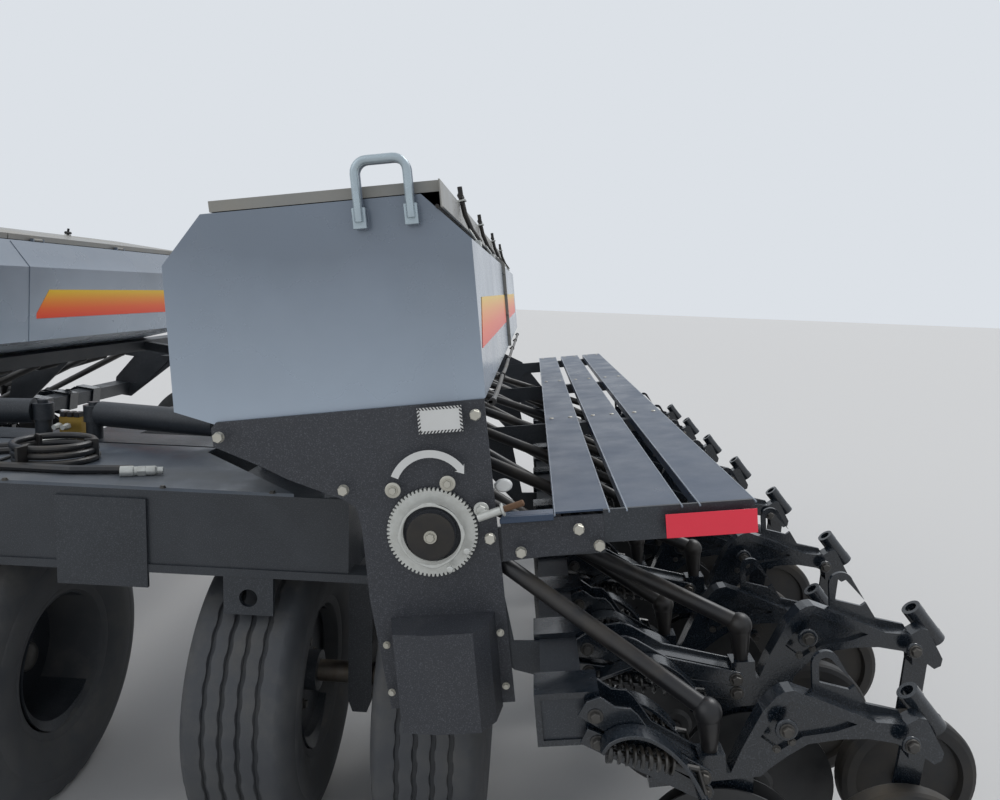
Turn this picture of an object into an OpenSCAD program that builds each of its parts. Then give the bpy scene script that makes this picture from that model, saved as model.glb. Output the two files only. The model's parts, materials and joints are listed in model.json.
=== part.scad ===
// Folded seed drill: a rear centre frame on five wheels, a drawbar, and two
// wings that are folded forward beside it, each with a seed box and fifteen openers.
// +X is to the right, +Y is towards the hitch, +Z is up. Millimetres.
// The origin is on the ground, under the middle of the whole machine.
// Wing parts are drawn level, for the right wing: u outwards, y along it, v up.

/* [Layout] */
// Hitch tip, ahead of the wings' rear ends
draw_l = 5418; // [5300:2:5600]
// Lean of each wing in transport, outer side up, in degrees
lean = 7; // [6.5:0.25:7.5]
// Inner lower edge of a seed box, from the centreline
wing_x = 660; // [650:5:680]
// Height of that edge above the ground
wing_z = 1200; // [1195:5:1230]
// Length of a wing
wing_l = 3810; // [3700:10:3900]

/* [Seed box] */
// Length of a seed box
box_l = 3200; // [3100:10:3300]
// Width of a seed box
box_w = 660; // [640:5:680]
// Height of its upright walls above the lower edge
side_h = 304; // [290:2:320]
// Height of its top above the lower edge
top_h = 400; // [385:5:410]
// Width of the sloped corners along the top
cham_w = 94; // [80:2:110]
// Inward slope of the inner wall over its height
batter = 18; // [8:2:24]
// Depth of the hopper trough below the lower edge
trough_d = 150; // [140:2:160]
// Sheet thickness of box and lids
sheet = 4; // [3:0.5:5]
// Height of a lid
lid_h = 22; // [18:1:26]
// Overhang of a lid over the outer corner
lid_over = 42; // [30:2:50]

/* [Wing frame] */
// Width of the upper frame tube
tube_w = 64; // [58:2:70]
// Width of the opener bar
bar_w = 80; // [76:2:84]
// Distance of the opener bar's inner side from the box edge
bar_u = 730; // [725:5:745]
// Depth of the opener bar's top below the box edge
bar_v = 560; // [555:5:570]
// Thickness of the end plates and ribs
plate_t = 8; // [6:1:10]
// Depth of the end plate's leg below the box edge
leg_v = 690; // [670:5:700]

/* [Walkboard] */
// Inner edge of the walkboard
walk_u = 782; // [776:2:790]
// Depth of its top below the box edge
walk_v = 274; // [268:2:280]
// Width of one plank
plank_w = 116; // [112:1:118]
// Gap between planks
plank_gap = 34; // [30:1:38]
// Height of a plank's side flange
plank_h = 26; // [22:1:30]

/* [Openers] */
// Distance between neighbouring rows
row_pitch = 254; // [246:1:256]
// Rows on a wing
rows = 15; // [13:2:15]
// Distance of the first row behind the wing's end
row_over = 200; // [190:5:205]
// Half width of an opener's clamp, the rearmost piece
clamp_half = 42; // [38:1:44]
// Diameter of a disc blade
disc_d = 343; // [320:1:350]
// Diameter of a press wheel
press_d = 300; // [280:2:310]
// Outer diameter of a seed tube
seed_tube_d = 36; // [32:1:40]

/* [Rear frame] */
// Half length of the rear tube
beam_half = 1000; // [980:5:1020]
// Height of the frame's underside
beam_z = 785; // [785:5:800]
// Height of the rear tube
beam_h = 200; // [190:5:205]
// Distance of the rear tube from the wings' rear ends
beam_y = 150; // [145:5:160]
// Fold pivot from the centreline
pivot_x = 755; // [750:5:765]
// Fold pivot from the wings' rear ends
pivot_y = 430; // [425:5:440]
// Radius of the fold pin
pin_r = 36; // [30:1:40]
// Radial clearance of pins in their bores
fit = 0.05; // [0.02:0.01:0.08]
// Thickness of the deck plate
deck_t = 8; // [6:1:10]

/* [Wheels] */
// Tyre diameter
tyre_d = 780; // [760:2:780]
// Tyre width
tyre_w = 280; // [260:2:284]
// Rim diameter at the bead
rim_d = 381; // [370:1:400]
// Axle line from the wings' rear ends
axle_y = 470; // [460:5:480]
// Strut of the twin wheels, from the centreline
strut_x = 971; // [960:1:980]
// Offset of each twin wheel from its strut
twin_off = 229; // [224:1:236]

/* [Hidden] */
$fn = 48;
eps = 0.01;

frame_black = [0.10, 0.10, 0.11];
box_grey = [0.55, 0.58, 0.61];
zinc = [0.72, 0.73, 0.72];
rubber = [0.05, 0.05, 0.05];
steel = [0.45, 0.46, 0.47];
ochre = [0.75, 0.60, 0.20];

// Overall length, and the wings' rear end in the machine's frame
over_l = draw_l + row_over + clamp_half;
rear_y = -over_l / 2 + row_over + clamp_half;
beam_top = beam_z + beam_h;
front_tube_y = beam_y + beam_h + 300;
front_tube_w = 150;
hub_z = tyre_d / 2;
axle_r = 30;
centre_strut_x = -210;
anchor_r = 15;
eye_r = 30;
tyre_r = tyre_d / 2;

// Seed box section, anticlockwise from the inner lower edge
trough_l = 380;
trough_r = 470;
outer_low = 20;
box_section = [[0, 0], [trough_l, -trough_d], [trough_r, -trough_d], [box_w, -outer_low], [box_w, side_h],
    [box_w - cham_w, top_h], [batter + cham_w, top_h], [batter, side_h]];
lid_u0 = batter + cham_w + 20;
lid_u1 = box_w - cham_w + lid_over;
lid_gap = 2;
box_split = box_l * 0.48;
rear_lid_span = [0, box_split - 3];
front_lid_span = [box_split + 3, box_l];

// Lid hinges: axis in the section, places along each lid, knuckle and pin sizes
lid_axis_u = lid_u0 - 14;
lid_axis_v = top_h + 7;
lid_hinges = [0.1, 0.5, 0.9];
knuckle_r = 6.4;
lid_pin_r = 3.5;
knuckle_half = 28;

// Tube, bar and hinge places in the wing's own section
tube_u = 300;
tube_v = -(tube_u + tube_w) * trough_d / trough_l - tube_w - 0.5;
hinge_u = 270;
hinge_v = -190;
hinge_r = 25;
hinge_pin_r = 14;
bar_low = -bar_v - bar_w;
walk_w = 3 * plank_w + 2 * plank_gap;
walk_split = wing_l * 0.67;
rib_places = [1246, 2404, wing_l - 20 - plate_t];
meter_pitch = box_l * 0.065;
meter_first = 170;

// Opener kinds: shift outwards, shift up, for the near rank and the far rank
rank_shift = [[-128, -50], [0, 0]];
disc_v = -940;
disc_u = 1180;
press_u = 1520;
press_v = -950;
press_w = 50;
boot_u = 1170;
boot_v = -651;
outlet_u = 430;
outlet_v = -215;

// Wheel on the wing's outer end
wing_tyre_r = 330;
wing_tyre_w = 230;
wing_wheel_u = -60;
wing_wheel_y = 3300;
wing_wheel_v = -718;

function row_y(i) = -row_over + row_pitch * i;
function rank(i) = i % 2;
function meter_y(i) = meter_first + meter_pitch * i;

// Corner of a convex anticlockwise outline moved inwards by t
function line_in(a, b, t) = let (d = (b - a) / norm(b - a)) [a + t * [-d[1], d[0]], d];
function meet(p, q) = let (s = ((q[0][0] - p[0][0]) * q[1][1] - (q[0][1] - p[0][1]) * q[1][0])
    / (p[1][0] * q[1][1] - p[1][1] * q[1][0])) p[0] + s * p[1];
function inset(pts, t) = [for (i = [0 : len(pts) - 1])
    meet(line_in(pts[(i + len(pts) - 1) % len(pts)], pts[i], t), line_in(pts[i], pts[(i + 1) % len(pts)], t))];

// Place a wing part on its side: 1 right, -1 left
module on_side(side) { if (side > 0) children(); else mirror([1, 0, 0]) children(); }
module on_wing(side) {
    on_side(side) translate([wing_x, rear_y, wing_z]) rotate([0, -lean, 0]) children();
}
// Extrude an outline drawn in u and v along y, from y0 over length l
module along_y(y0, l) { translate([0, y0 + l, 0]) rotate([90, 0, 0]) linear_extrude(l) children(); }
// Round bar between two points, of radius r
module rod_between(a, b, r, fn = 32) {
    d = b - a;
    l = norm(d);
    translate(a) rotate([0, acos(d[2] / l), atan2(d[1], d[0])]) cylinder(r = r, h = l, $fn = fn);
}

// Sleeve plates on the rear tube's face and eyes hanging from its flange strip
sleeve_plate = [300, 220, 748, 217];
eye_plate = [700, 120, 690, 96];
strip_half = beam_half + 50;
module rear_beam() color(frame_black) {
    translate([-beam_half, rear_y + beam_y, beam_z]) cube([2 * beam_half, beam_h, beam_h]);
    translate([-strip_half, rear_y + beam_y - 5, beam_z]) cube([2 * strip_half, 70, 20]);
    for (side = [1, -1]) on_side(side) {
        translate([sleeve_plate[0], rear_y + beam_y - 8, sleeve_plate[2]])
            cube([sleeve_plate[1], 9, sleeve_plate[3]]);
        difference() {
            translate([eye_plate[0], rear_y + beam_y - 1, eye_plate[2]]) cube([eye_plate[1], 12, eye_plate[3]]);
            translate([eye_plate[0] + eye_plate[1] / 2, rear_y + beam_y + 20, eye_plate[2] + 42]) rotate([90, 0, 0])
                cylinder(r = 22, h = 40);
        }
    }
    translate([-beam_half, rear_y + front_tube_y, beam_z]) cube([2 * beam_half, front_tube_w, beam_h]);
    for (x = [-strut_x, strut_x, centre_strut_x])
        translate([x - 29, rear_y + beam_y + beam_h, beam_z]) cube([58, front_tube_y - beam_y - beam_h, beam_h]);
    for (x = [-pivot_x, pivot_x])
        translate([x - 75, rear_y + beam_y + beam_h, beam_z + 75])
            cube([150, front_tube_y - beam_y - beam_h, beam_h - 75]);
    for (x = [-pivot_x, pivot_x])
        translate([x, rear_y + pivot_y, beam_top - eps]) {
            cylinder(r = pin_r, h = 105);
            cylinder(r = pin_r + 22, h = arm_z - beam_top - 0.3);
            translate([0, 0, arm_z + arm_h + 0.3 - beam_top]) cylinder(r = pin_r + 12, h = 12);
        }
    for (x = [-cyl_a[0], cyl_a[0]])
        translate([x, rear_y + cyl_a[1], beam_top - eps]) {
            cylinder(r = anchor_r, h = cyl_z + 35 - beam_top);
            cylinder(r = anchor_r + 9, h = cyl_z - 25.3 - beam_top);
        }
}

deck_half = 870;
deck_front = 500;
deck_l = 450;
module deck() color(steel) {
    translate([0, rear_y + beam_y, beam_top]) linear_extrude(deck_t) polygon([[-deck_half, 0], [deck_half, 0],
        [deck_front, deck_l - 60], [deck_front, deck_l], [-deck_front, deck_l], [-deck_front, deck_l - 60]]);
}

module wheel_struts() color(frame_black)
    for (x = [-strut_x, strut_x, centre_strut_x]) difference() {
        translate([x, rear_y + axle_y + 45, 0]) rotate([90, 0, 0]) linear_extrude(90) polygon([[-58, beam_z],
            [-33, beam_z - 90], [-33, hub_z - 60], [-20, hub_z - 95], [20, hub_z - 95], [33, hub_z - 60],
            [33, beam_z - 90], [58, beam_z]]);
        translate([x - 40, rear_y + axle_y, hub_z]) rotate([0, 90, 0]) cylinder(r = axle_r + 0.3, h = 80);
    }

module axles() color(steel) {
    for (x = [-strut_x, strut_x])
        translate([x - twin_off - 30, rear_y + axle_y, hub_z]) rotate([0, 90, 0])
            cylinder(r = axle_r, h = 2 * twin_off + 60);
    translate([centre_strut_x - 34, rear_y + axle_y, hub_z]) rotate([0, 90, 0])
        cylinder(r = axle_r, h = 34 - centre_strut_x);
}

bar_y0 = front_tube_y + front_tube_w;
bar_y1 = draw_l - 900;
module drawbar() color(frame_black) {
    translate([-bar_half, rear_y + bar_y0, beam_z + 5]) cube([2 * bar_half, bar_y1 - bar_y0, 160]);
    translate([-bar_half, 0, 0]) rotate([90, 0, 90]) linear_extrude(2 * bar_half)
        polygon([[rear_y + bar_y1, beam_z + 5], [rear_y + draw_l - 180, 400], [rear_y + draw_l - 180, 500],
            [rear_y + bar_y1, beam_z + 165]]);
}

clevis_r = 60;
module hitch_clevis() color(steel) difference() {
    union() for (z = [410, 462]) {
        translate([-clevis_r, rear_y + draw_l - 180, z]) cube([2 * clevis_r, 180 - clevis_r, 28]);
        translate([0, rear_y + draw_l - clevis_r, z]) cylinder(r = clevis_r, h = 28);
    }
    translate([0, rear_y + draw_l - clevis_r, 400]) cylinder(r = 17, h = 100);
}

jack_y = bar_y1 - 100;
module jack_stand() color(steel) {
    translate([150, rear_y + jack_y, 12]) cylinder(r = 32, h = 800);
    translate([150, rear_y + jack_y, 420]) cylinder(r = 42, h = 560);
    translate([150 - 110, rear_y + jack_y - 110, 0]) cube([220, 220, 12]);
    translate([80, rear_y + jack_y - 60, beam_z + 30]) cube([60, 120, 100]);
    // Crank on the jack's head
    translate([150, rear_y + jack_y, 955]) rotate([0, 90, 0]) cylinder(r = 8, h = 90);
    translate([232, rear_y + jack_y - 8, 950]) cube([10, 16, 130]);
    translate([232, rear_y + jack_y, 1066]) rotate([0, 90, 0]) cylinder(r = 12, h = 90);
}

rest_y = 3500;
rest_half = wing_x + 400;
rest_top = 965;
bar_half = 80;
rest_outline = [[0, rest_top], [rest_half, rest_top], [rest_half, rest_top - 30], [bar_half + 0.3, beam_z + 65],
    [bar_half + 0.3, beam_z + 165], [0, beam_z + 165]];
module wing_rest() color(frame_black) translate([0, rear_y + rest_y + 40, 0]) rotate([90, 0, 0])
    linear_extrude(80) for (m = [0, 1]) mirror([m, 0]) polygon(rest_outline);

module coupler_block() color(ochre) translate([-35, rear_y + 706, beam_top]) cube([70, 88, 60]);

// Hydraulic hoses that lie on the deck: radius, and route in X and from the wings' ends
hose_sides = 8;
lying_z = beam_top + deck_t + 0.3;
hoses = [
    [11, [[-560, 262], [-400, 232], [-230, 206], [-60, 222], [120, 236], [290, 232], [430, 262]]],
    [9, [[-470, 420], [-330, 372], [-180, 350], [-60, 370], [20, 420], [60, 470], [75, 510]]],
    [9, [[-440, 470], [-300, 425], [-170, 402], [-60, 440], [0, 500], [20, 570]]]];
coil = [170, 366, 95, 9];
function unit(v) = v / norm(v);
function run_at(p, k) = unit(p[min(k + 1, len(p) - 1)] - p[max(k - 1, 0)]);
module hose(r, route) {
    p = [for (q = route) [q[0], q[1], lying_z + r]];
    rings = [for (k = [0 : len(p) - 1]) let (d = run_at(p, k), a = unit(cross(d, [0, 0, 1])), b = cross(a, d))
        for (j = [0 : hose_sides - 1]) p[k] + r * (cos(45 * j) * a + sin(45 * j) * b)];
    polyhedron(points = rings, faces = concat([[for (j = [0 : hose_sides - 1]) hose_sides - 1 - j]],
        [[for (j = [0 : hose_sides - 1]) (len(p) - 1) * hose_sides + j]],
        [for (k = [0 : len(p) - 2], j = [0 : hose_sides - 1]) let (a = k * hose_sides + j,
            b = k * hose_sides + (j + 1) % hose_sides) [a, b, b + hose_sides, a + hose_sides]]));
}
module hydraulic_hoses() color(rubber) translate([0, rear_y, 0]) {
    for (h = hoses) hose(h[0], h[1]);
    // Coil laid on the deck
    for (k = [0 : 2]) translate([coil[0] - 6 * k, coil[1] + 4 * k, lying_z + coil[3] * (1 + 2.06 * k)])
        rotate_extrude($fn = 48) translate([coil[2], 0]) circle(r = coil[3], $fn = 12);
}

// Tyre about the Z axis, with four grooves in its tread
module tyre(r, w, bead) rotate_extrude($fn = 96) polygon([
    [bead, -w * 0.36], [r * 0.72, -w / 2], [r * 0.86, -w / 2], [r * 0.965, -w * 0.42], [r, -w * 0.36],
    [r, -w * 0.24], [r - 12, -w * 0.23], [r - 12, -w * 0.19], [r, -w * 0.18],
    [r, -w * 0.06], [r - 12, -w * 0.05], [r - 12, w * 0.05], [r, w * 0.06],
    [r, w * 0.18], [r - 12, w * 0.19], [r - 12, w * 0.23], [r, w * 0.24],
    [r, w * 0.36], [r * 0.965, w * 0.42], [r * 0.86, w / 2], [r * 0.72, w / 2], [bead, w * 0.36]]);

// Rim with a disc set off to one side, about the Z axis, with its axle bore
module rim(bead, w, set, bore) difference() {
    rotate_extrude($fn = 96) polygon([
        [bore, set - 45], [55, set - 45], [55, set - 8], [bead - 14, set - 8], [bead - 14, -w * 0.36 + 8],
        [bead + 12, -w * 0.36 - 12], [bead + 12, -w * 0.36 - 6], [bead, -w * 0.36 - 2],
        [bead, w * 0.36 + 2], [bead + 12, w * 0.36 + 6], [bead + 12, w * 0.36 + 12], [bead - 14, w * 0.36 - 8],
        [bead - 14, set + 8], [50, set + 8], [50, set + 40], [bore, set + 40]]);
}

module wheel_at(x, turn) translate([x, rear_y + axle_y, hub_z]) rotate([0, turn, 0]) children();
module twin_tyres(side) color(rubber) on_side(side)
    for (s = [-1, 1]) wheel_at(strut_x + s * twin_off, 90) tyre(tyre_r, tyre_w, rim_d / 2 + 0.3);
module twin_rims(side) color(frame_black) on_side(side)
    for (s = [-1, 1]) wheel_at(strut_x + s * twin_off, 90 * s) rim(rim_d / 2, tyre_w, -60, axle_r + fit);
module centre_tyre() color(rubber) wheel_at(0, 90) tyre(tyre_r, tyre_w, rim_d / 2 + 0.3);
module centre_rim() color(frame_black) wheel_at(0, 90) rim(rim_d / 2, tyre_w, -60, axle_r + fit);

// Fold arm: a bored sleeve on the fold pin, an arm and the tilt hinge's middle knuckle
arm_z = beam_top + deck_t + 7;
arm_h = 80;
hinge_x = wing_x + hinge_u * cos(lean) - hinge_v * sin(lean);
hinge_z = wing_z + hinge_u * sin(lean) + hinge_v * cos(lean);
module fold_arm(side) color(frame_black) on_side(side) {
    difference() {
        union() {
            translate([pivot_x, rear_y + pivot_y, arm_z]) cylinder(r = pin_r + 25, h = arm_h);
            translate([pivot_x, rear_y + pivot_y - 50, arm_z]) cube([hinge_x - pivot_x - hinge_r - 8, 100, arm_h]);
            translate([hinge_x - hinge_r - 20, rear_y + pivot_y - 50, hinge_z - 18]) cube([hinge_r + 20, 100, 36]);
            translate([hinge_x, rear_y + pivot_y + 60, hinge_z]) rotate([90, 0, 0]) cylinder(r = hinge_r, h = 120);
            translate([pivot_x, rear_y + pivot_y, arm_z]) rotate([0, 0, lug_turn]) translate([0, -24, 0])
                cube([lug_reach, 48, lug_t]);
            translate([cyl_b[0], rear_y + cyl_b[1], arm_z]) rotate([0, 0, lug_turn]) cylinder(r = eye_r, h = lug_t);
        }
        translate([cyl_b[0], rear_y + cyl_b[1], arm_z - 1]) cylinder(r = anchor_r + fit, h = lug_t + 2);
        translate([pivot_x, rear_y + pivot_y, arm_z - 50]) cylinder(r = pin_r + fit, h = arm_h + 100);
    }
    translate([hinge_x, rear_y + pivot_y + 120, hinge_z]) rotate([90, 0, 0]) cylinder(r = hinge_pin_r, h = 240);
}

// Fold cylinder: anchor pin on the front tube, lug point on the fold arm, its eye left open there
cyl_a = [80, 700];
cyl_b = [pivot_x - 150, pivot_y + 160];
lug_turn = atan2(cyl_b[1] - pivot_y, cyl_b[0] - pivot_x);
lug_reach = norm(cyl_b - [pivot_x, pivot_y]);
lug_t = 20;
cyl_z = arm_z + lug_t + 42;
cyl_turn = atan2(cyl_b[1] - cyl_a[1], cyl_b[0] - cyl_a[0]);
cyl_l = norm(cyl_b - cyl_a);
barrel_r = 38;
barrel_l = 0.8 * cyl_l;
rod_r = 18;
module on_cylinder(side) { on_side(side) translate([cyl_a[0], rear_y + cyl_a[1], cyl_z]) rotate([0, 0, cyl_turn]) children(); }
module fold_barrel(side) color(frame_black) on_cylinder(side) {
    difference() {
        union() {
            translate([eye_r - 4, 0, 0]) rotate([0, 90, 0]) cylinder(r = barrel_r, h = barrel_l - eye_r + 4);
            translate([0, 0, -25]) cylinder(r = eye_r, h = 50);
        }
        translate([0, 0, -40]) cylinder(r = anchor_r + fit, h = 80);
        translate([eye_r + 20, 0, 0]) rotate([0, 90, 0]) cylinder(r = barrel_r - 8, h = barrel_l - eye_r - 50);
        translate([eye_r + 20, 0, 0]) rotate([0, 90, 0]) cylinder(r = rod_r + fit, h = barrel_l);
    }
}
module fold_rod(side) color(zinc) on_cylinder(side) {
    translate([eye_r + 30, 0, 0]) rotate([0, 90, 0]) cylinder(r = rod_r, h = cyl_l - 2 * eye_r - 10);
    translate([eye_r + 30, 0, 0]) rotate([0, 90, 0]) cylinder(r = barrel_r - 8 - fit, h = 30);
    difference() {
        translate([cyl_l, 0, -20]) cylinder(r = eye_r, h = 40);
        translate([cyl_l, 0, -30]) cylinder(r = anchor_r + fit, h = 60);
    }
}

// Rib from the upper tube to the opener bar, with the walkboard's bracket arm
rib_outline = [[tube_u + 45, tube_v], [415, -300], [bar_u - 60, bar_low + 20], [bar_u, bar_low], [bar_u, -bar_v],
    [675, -bar_v + 4], [655, -384], [672, -370], [885, -370], [885, -walk_v - plank_h], [520, -walk_v - plank_h],
    [420, -265], [tube_u + tube_w, tube_v]];
beam_low = -345;
arm_end_u = 885;
module wing_frame(side) color(frame_black) on_wing(side) {
    difference() {
        union() {
            translate([tube_u, 0, tube_v]) cube([tube_w, wing_l - 20, tube_w]);
            translate([bar_u, -row_over - clamp_half + 4, bar_low])
                cube([bar_w, wing_l - 20 + row_over + clamp_half - 4, bar_w]);
            for (y = rib_places) along_y(y, plate_t) polygon(rib_outline);
            along_y(0.3, plate_t) polygon(rib_outline);
            // Cross beams under the planks
            for (y = rib_places) translate([870, y - 32, beam_low])
                cube([walk_u + walk_w - 870, 40, -walk_v - plank_h - beam_low]);
            translate([870, 0.3, beam_low]) cube([20, 29.7, -walk_v - plank_h - beam_low]);
            translate([arm_end_u + 0.3, -plate_t, beam_low])
                cube([walk_u + walk_w - arm_end_u - 0.3, plate_t + 30, -walk_v - plank_h - beam_low]);
            translate([arm_end_u + 0.3, -plate_t, beam_low + 5])
                cube([walk_u + walk_w - arm_end_u - 0.3, plate_t - 0.3, -walk_v - 5 - beam_low]);
            for (s = [-1, 1]) {
                translate([hinge_u, pivot_y + s * 80 + 15, hinge_v]) rotate([90, 0, 0]) cylinder(r = hinge_r, h = 30);
                translate([hinge_u, pivot_y + s * 80 - 15, hinge_v - hinge_r + 5]) cube([tube_u - hinge_u + 5, 30, 40]);
            }
            // Outrigger and leg of the wing wheel
            translate([wing_wheel_u - 40, wing_wheel_y - 210, tube_v + 6])
                cube([tube_u - wing_wheel_u + 45, 60, 50]);
            translate([wing_wheel_u - 40, wing_wheel_y - 210, wing_wheel_v - 50]) cube([80, 60, tube_v - wing_wheel_v + 100]);
            translate([wing_wheel_u, wing_wheel_y + 60, wing_wheel_v]) rotate([90, 0, 0]) cylinder(r = 25, h = 240);
        }
        for (s = [-1, 1])
            translate([hinge_u, pivot_y + s * 80 + 30, hinge_v]) rotate([90, 0, 0])
                cylinder(r = hinge_pin_r + fit, h = 60);
    }
}

gear_u = 525;
gear_v = -294;
hub_disc_r = 51;
near_plate = [[90, -28], [box_w - 3, -22], [box_w + 3, -380], [box_w + 7, -leg_v], [395, -leg_v], [374, -440],
    [374, -278], [366, -232], [339, -212], [228, -161], [178, -131], [78, -79], [78, -40]];
far_plate = [[tube_u - 12, tube_v + tube_w + 10], [tube_u + tube_w + 30, tube_v + tube_w + 10], [box_w, -290],
    [bar_u + bar_w + 20, -bar_v + 20], [bar_u + bar_w + 20, bar_low - 20], [bar_u - 20, bar_low - 20],
    [tube_u - 12, tube_v - 24]];
module end_plates(side) color(frame_black) on_wing(side) {
    difference() {
        along_y(-plate_t, plate_t) polygon(near_plate);
        for (p = [[620, -662], [424, -662]]) translate([p[0], 1, p[1]]) rotate([90, 0, 0])
            cylinder(r = 7, h = plate_t + 2);
    }
    translate([gear_u, -plate_t, gear_v]) rotate([90, 0, 0]) {
        cylinder(r = 80, h = 4);
        cylinder(r = hub_disc_r, h = 18);
        translate([0, 0, 18]) cylinder(r = 10, h = 8, $fn = 6);
    }
    along_y(wing_l - 20, plate_t) polygon(far_plate);
    // Bracket plate beside the leg, and the walkboard's end face
    along_y(-plate_t, plate_t - 0.3) polygon([[box_w + 8.3, -284], [arm_end_u, -284], [arm_end_u, -360],
        [box_w + 8.3, -372]]);
}

function hinge_y(span, f) = span[0] + f * (span[1] - span[0]);
module seed_box(side) color(box_grey) on_wing(side) {
    hollow_box();
    grab_handle();
    // Flange round the middle joint
    along_y(box_split - 22, 44) difference() {
        polygon(inset(box_section, -2.5));
        polygon(inset(box_section, 1));
        translate([batter + cham_w - 6, top_h - 20]) square([lid_u1 - batter - cham_w + 12, 60]);
        translate([-50, -trough_d - 50]) square([box_w + 100, trough_d + 50]);
    }
    for (span = [rear_lid_span, front_lid_span], f = lid_hinges) {
        for (t = [-knuckle_half - 10, knuckle_half + 2]) along_y(hinge_y(span, f) + t, 8)
            translate([lid_axis_u - 7, top_h - eps]) square([14, 13]);
        along_y(hinge_y(span, f) - knuckle_half - 10, 2 * knuckle_half + 20)
            translate([lid_axis_u, lid_axis_v]) circle(r = lid_pin_r, $fn = 24);
    }
}
// Grab handle on the rear end: leg places, height and bend
handle_u = [443, 547];
handle_r = 8;
handle_bend = 26;
handle_top = 470;
handle_low = 352;
module grab_handle() translate([0, -handle_r - 5, 0]) {
    for (u = handle_u) {
        translate([u, 0, handle_low]) cylinder(r = handle_r, h = handle_top - handle_bend - handle_low, $fn = 24);
        translate([u - 13, 3, handle_low - 12]) cube([26, handle_r + 2.2, 40]);
    }
    for (s = [[handle_u[0], 0], [handle_u[1], 1]]) translate([s[0], 0, handle_top - handle_bend]) mirror([s[1], 0, 0])
        translate([handle_bend, 0, 0]) rotate([90, 0, 0]) rotate([0, 0, 90]) rotate_extrude(angle = 90, $fn = 48)
            translate([handle_bend, 0]) circle(r = handle_r, $fn = 24);
    translate([handle_u[0] + handle_bend, 0, handle_top]) rotate([0, 90, 0])
        cylinder(r = handle_r, h = handle_u[1] - handle_u[0] - 2 * handle_bend, $fn = 24);
}
module hollow_box() difference() {
    along_y(0, box_l) polygon(box_section);
    for (span = [[sheet, box_split - sheet / 2], [box_split + sheet / 2, box_l - sheet]])
        along_y(span[0], span[1] - span[0]) polygon(inset(box_section, sheet));
    for (span = [[60, box_split - 40], [box_split + 40, box_l - 60]])
        translate([batter + cham_w + 24, span[0], top_h - 2 * sheet])
            cube([box_w - 2 * cham_w - batter - 48, span[1] - span[0], 3 * sheet]);
}

module lid(side, span) color(box_grey) on_wing(side) {
    y0 = span[0];
    y1 = span[1];
    difference() {
        union() {
            translate([lid_u0, y0, top_h + lid_gap]) cube([lid_u1 - lid_u0, y1 - y0, lid_h]);
            for (f = lid_hinges) along_y(hinge_y(span, f) - knuckle_half, 2 * knuckle_half) {
                translate([lid_axis_u, lid_axis_v]) circle(r = knuckle_r, $fn = 24);
                translate([lid_axis_u, lid_axis_v - 2]) square([lid_u0 - lid_axis_u + 2, 6]);
            }
        }
        translate([lid_u0 + sheet, y0 + sheet, top_h + lid_gap - 1])
            cube([lid_u1 - lid_u0 - 2 * sheet, y1 - y0 - 2 * sheet, lid_h - sheet + 1]);
        for (f = lid_hinges) along_y(hinge_y(span, f) - knuckle_half - 1, 2 * knuckle_half + 2)
            translate([lid_axis_u, lid_axis_v]) circle(r = lid_pin_r + fit, $fn = 24);
    }
}

module walkboard(side) color([0.2, 0.22, 0.25]) on_wing(side)
    for (span = [[0, walk_split - 2], [walk_split + 2, wing_l - 10]])
        for (k = [0 : 2]) translate([walk_u + k * (plank_w + plank_gap), span[0], -walk_v - plank_h])
            difference() {
                cube([plank_w, span[1] - span[0], plank_h]);
                translate([4, -1, -1]) cube([plank_w - 8, span[1] - span[0] + 2, plank_h - 3]);
            }

// Drive gear: 65 teeth cut round a ring, with a hub and a central bolt
gear_teeth = 65;
gear_r = 96;
gear_root = 90;
module drive_gear(side) color(zinc) on_wing(side)
    translate([gear_u, -plate_t - 4, gear_v]) rotate([90, 0, 0]) difference() {
        linear_extrude(10) polygon([for (k = [0 : gear_teeth - 1], p = [[-0.36, gear_root], [-0.2, gear_r],
            [0.2, gear_r], [0.36, gear_root]]) let (a = 360 * (k + p[0]) / gear_teeth) p[1] * [cos(a), sin(a)]]);
        translate([0, 0, -1]) cylinder(r = 62, h = 12);
    }

cover_pts = [[415, 0], [433, 85], [510, 100], [600, 100], [629, 60], [640, 0]];
module drive_cover(side) color(frame_black) on_wing(side)
    translate([0, -plate_t, -698]) mirror([0, 1, 0]) linear_extrude(216) polygon(cover_pts);

module meters(side) color(frame_black) on_wing(side)
    for (i = [0 : rows - 1]) along_y(meter_y(i) - 45, 90) translate([outlet_u, 0]) polygon([[-40, -trough_d],
        [-40, -176], [-26, outlet_v + 8], [-20, outlet_v], [22, outlet_v], [34, outlet_v + 12], [46, -180], [40, -trough_d]]);

// One tube: a stub under the meter, the slanted tube and the boot on the opener's pad
stub_h = 28;
boot_h = 80;
boot_r = 25;
boot_tip_r = 15;
module seed_tube(a, b) {
    r = seed_tube_d / 2;
    translate([a[0], a[1], a[2] - stub_h]) cylinder(r = r, h = stub_h);
    translate([a[0], a[1], a[2] - stub_h]) sphere(r = r + 1.5);
    rod_between([a[0], a[1], a[2] - stub_h], [b[0], b[1], b[2] + boot_h], r);
    translate([b[0], b[1], b[2]]) cylinder(r1 = boot_tip_r, r2 = boot_r, h = boot_h);
    translate([b[0], b[1], b[2] + boot_h - 3]) sphere(r = boot_r + 2);
}
module seed_tubes(side) color(frame_black) on_wing(side)
    for (i = [0 : rows - 1])
        let (s = rank_shift[rank(i)])
            seed_tube([outlet_u, meter_y(i), outlet_v], [boot_u + s[0], row_y(i), boot_v + s[1]]);

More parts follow.
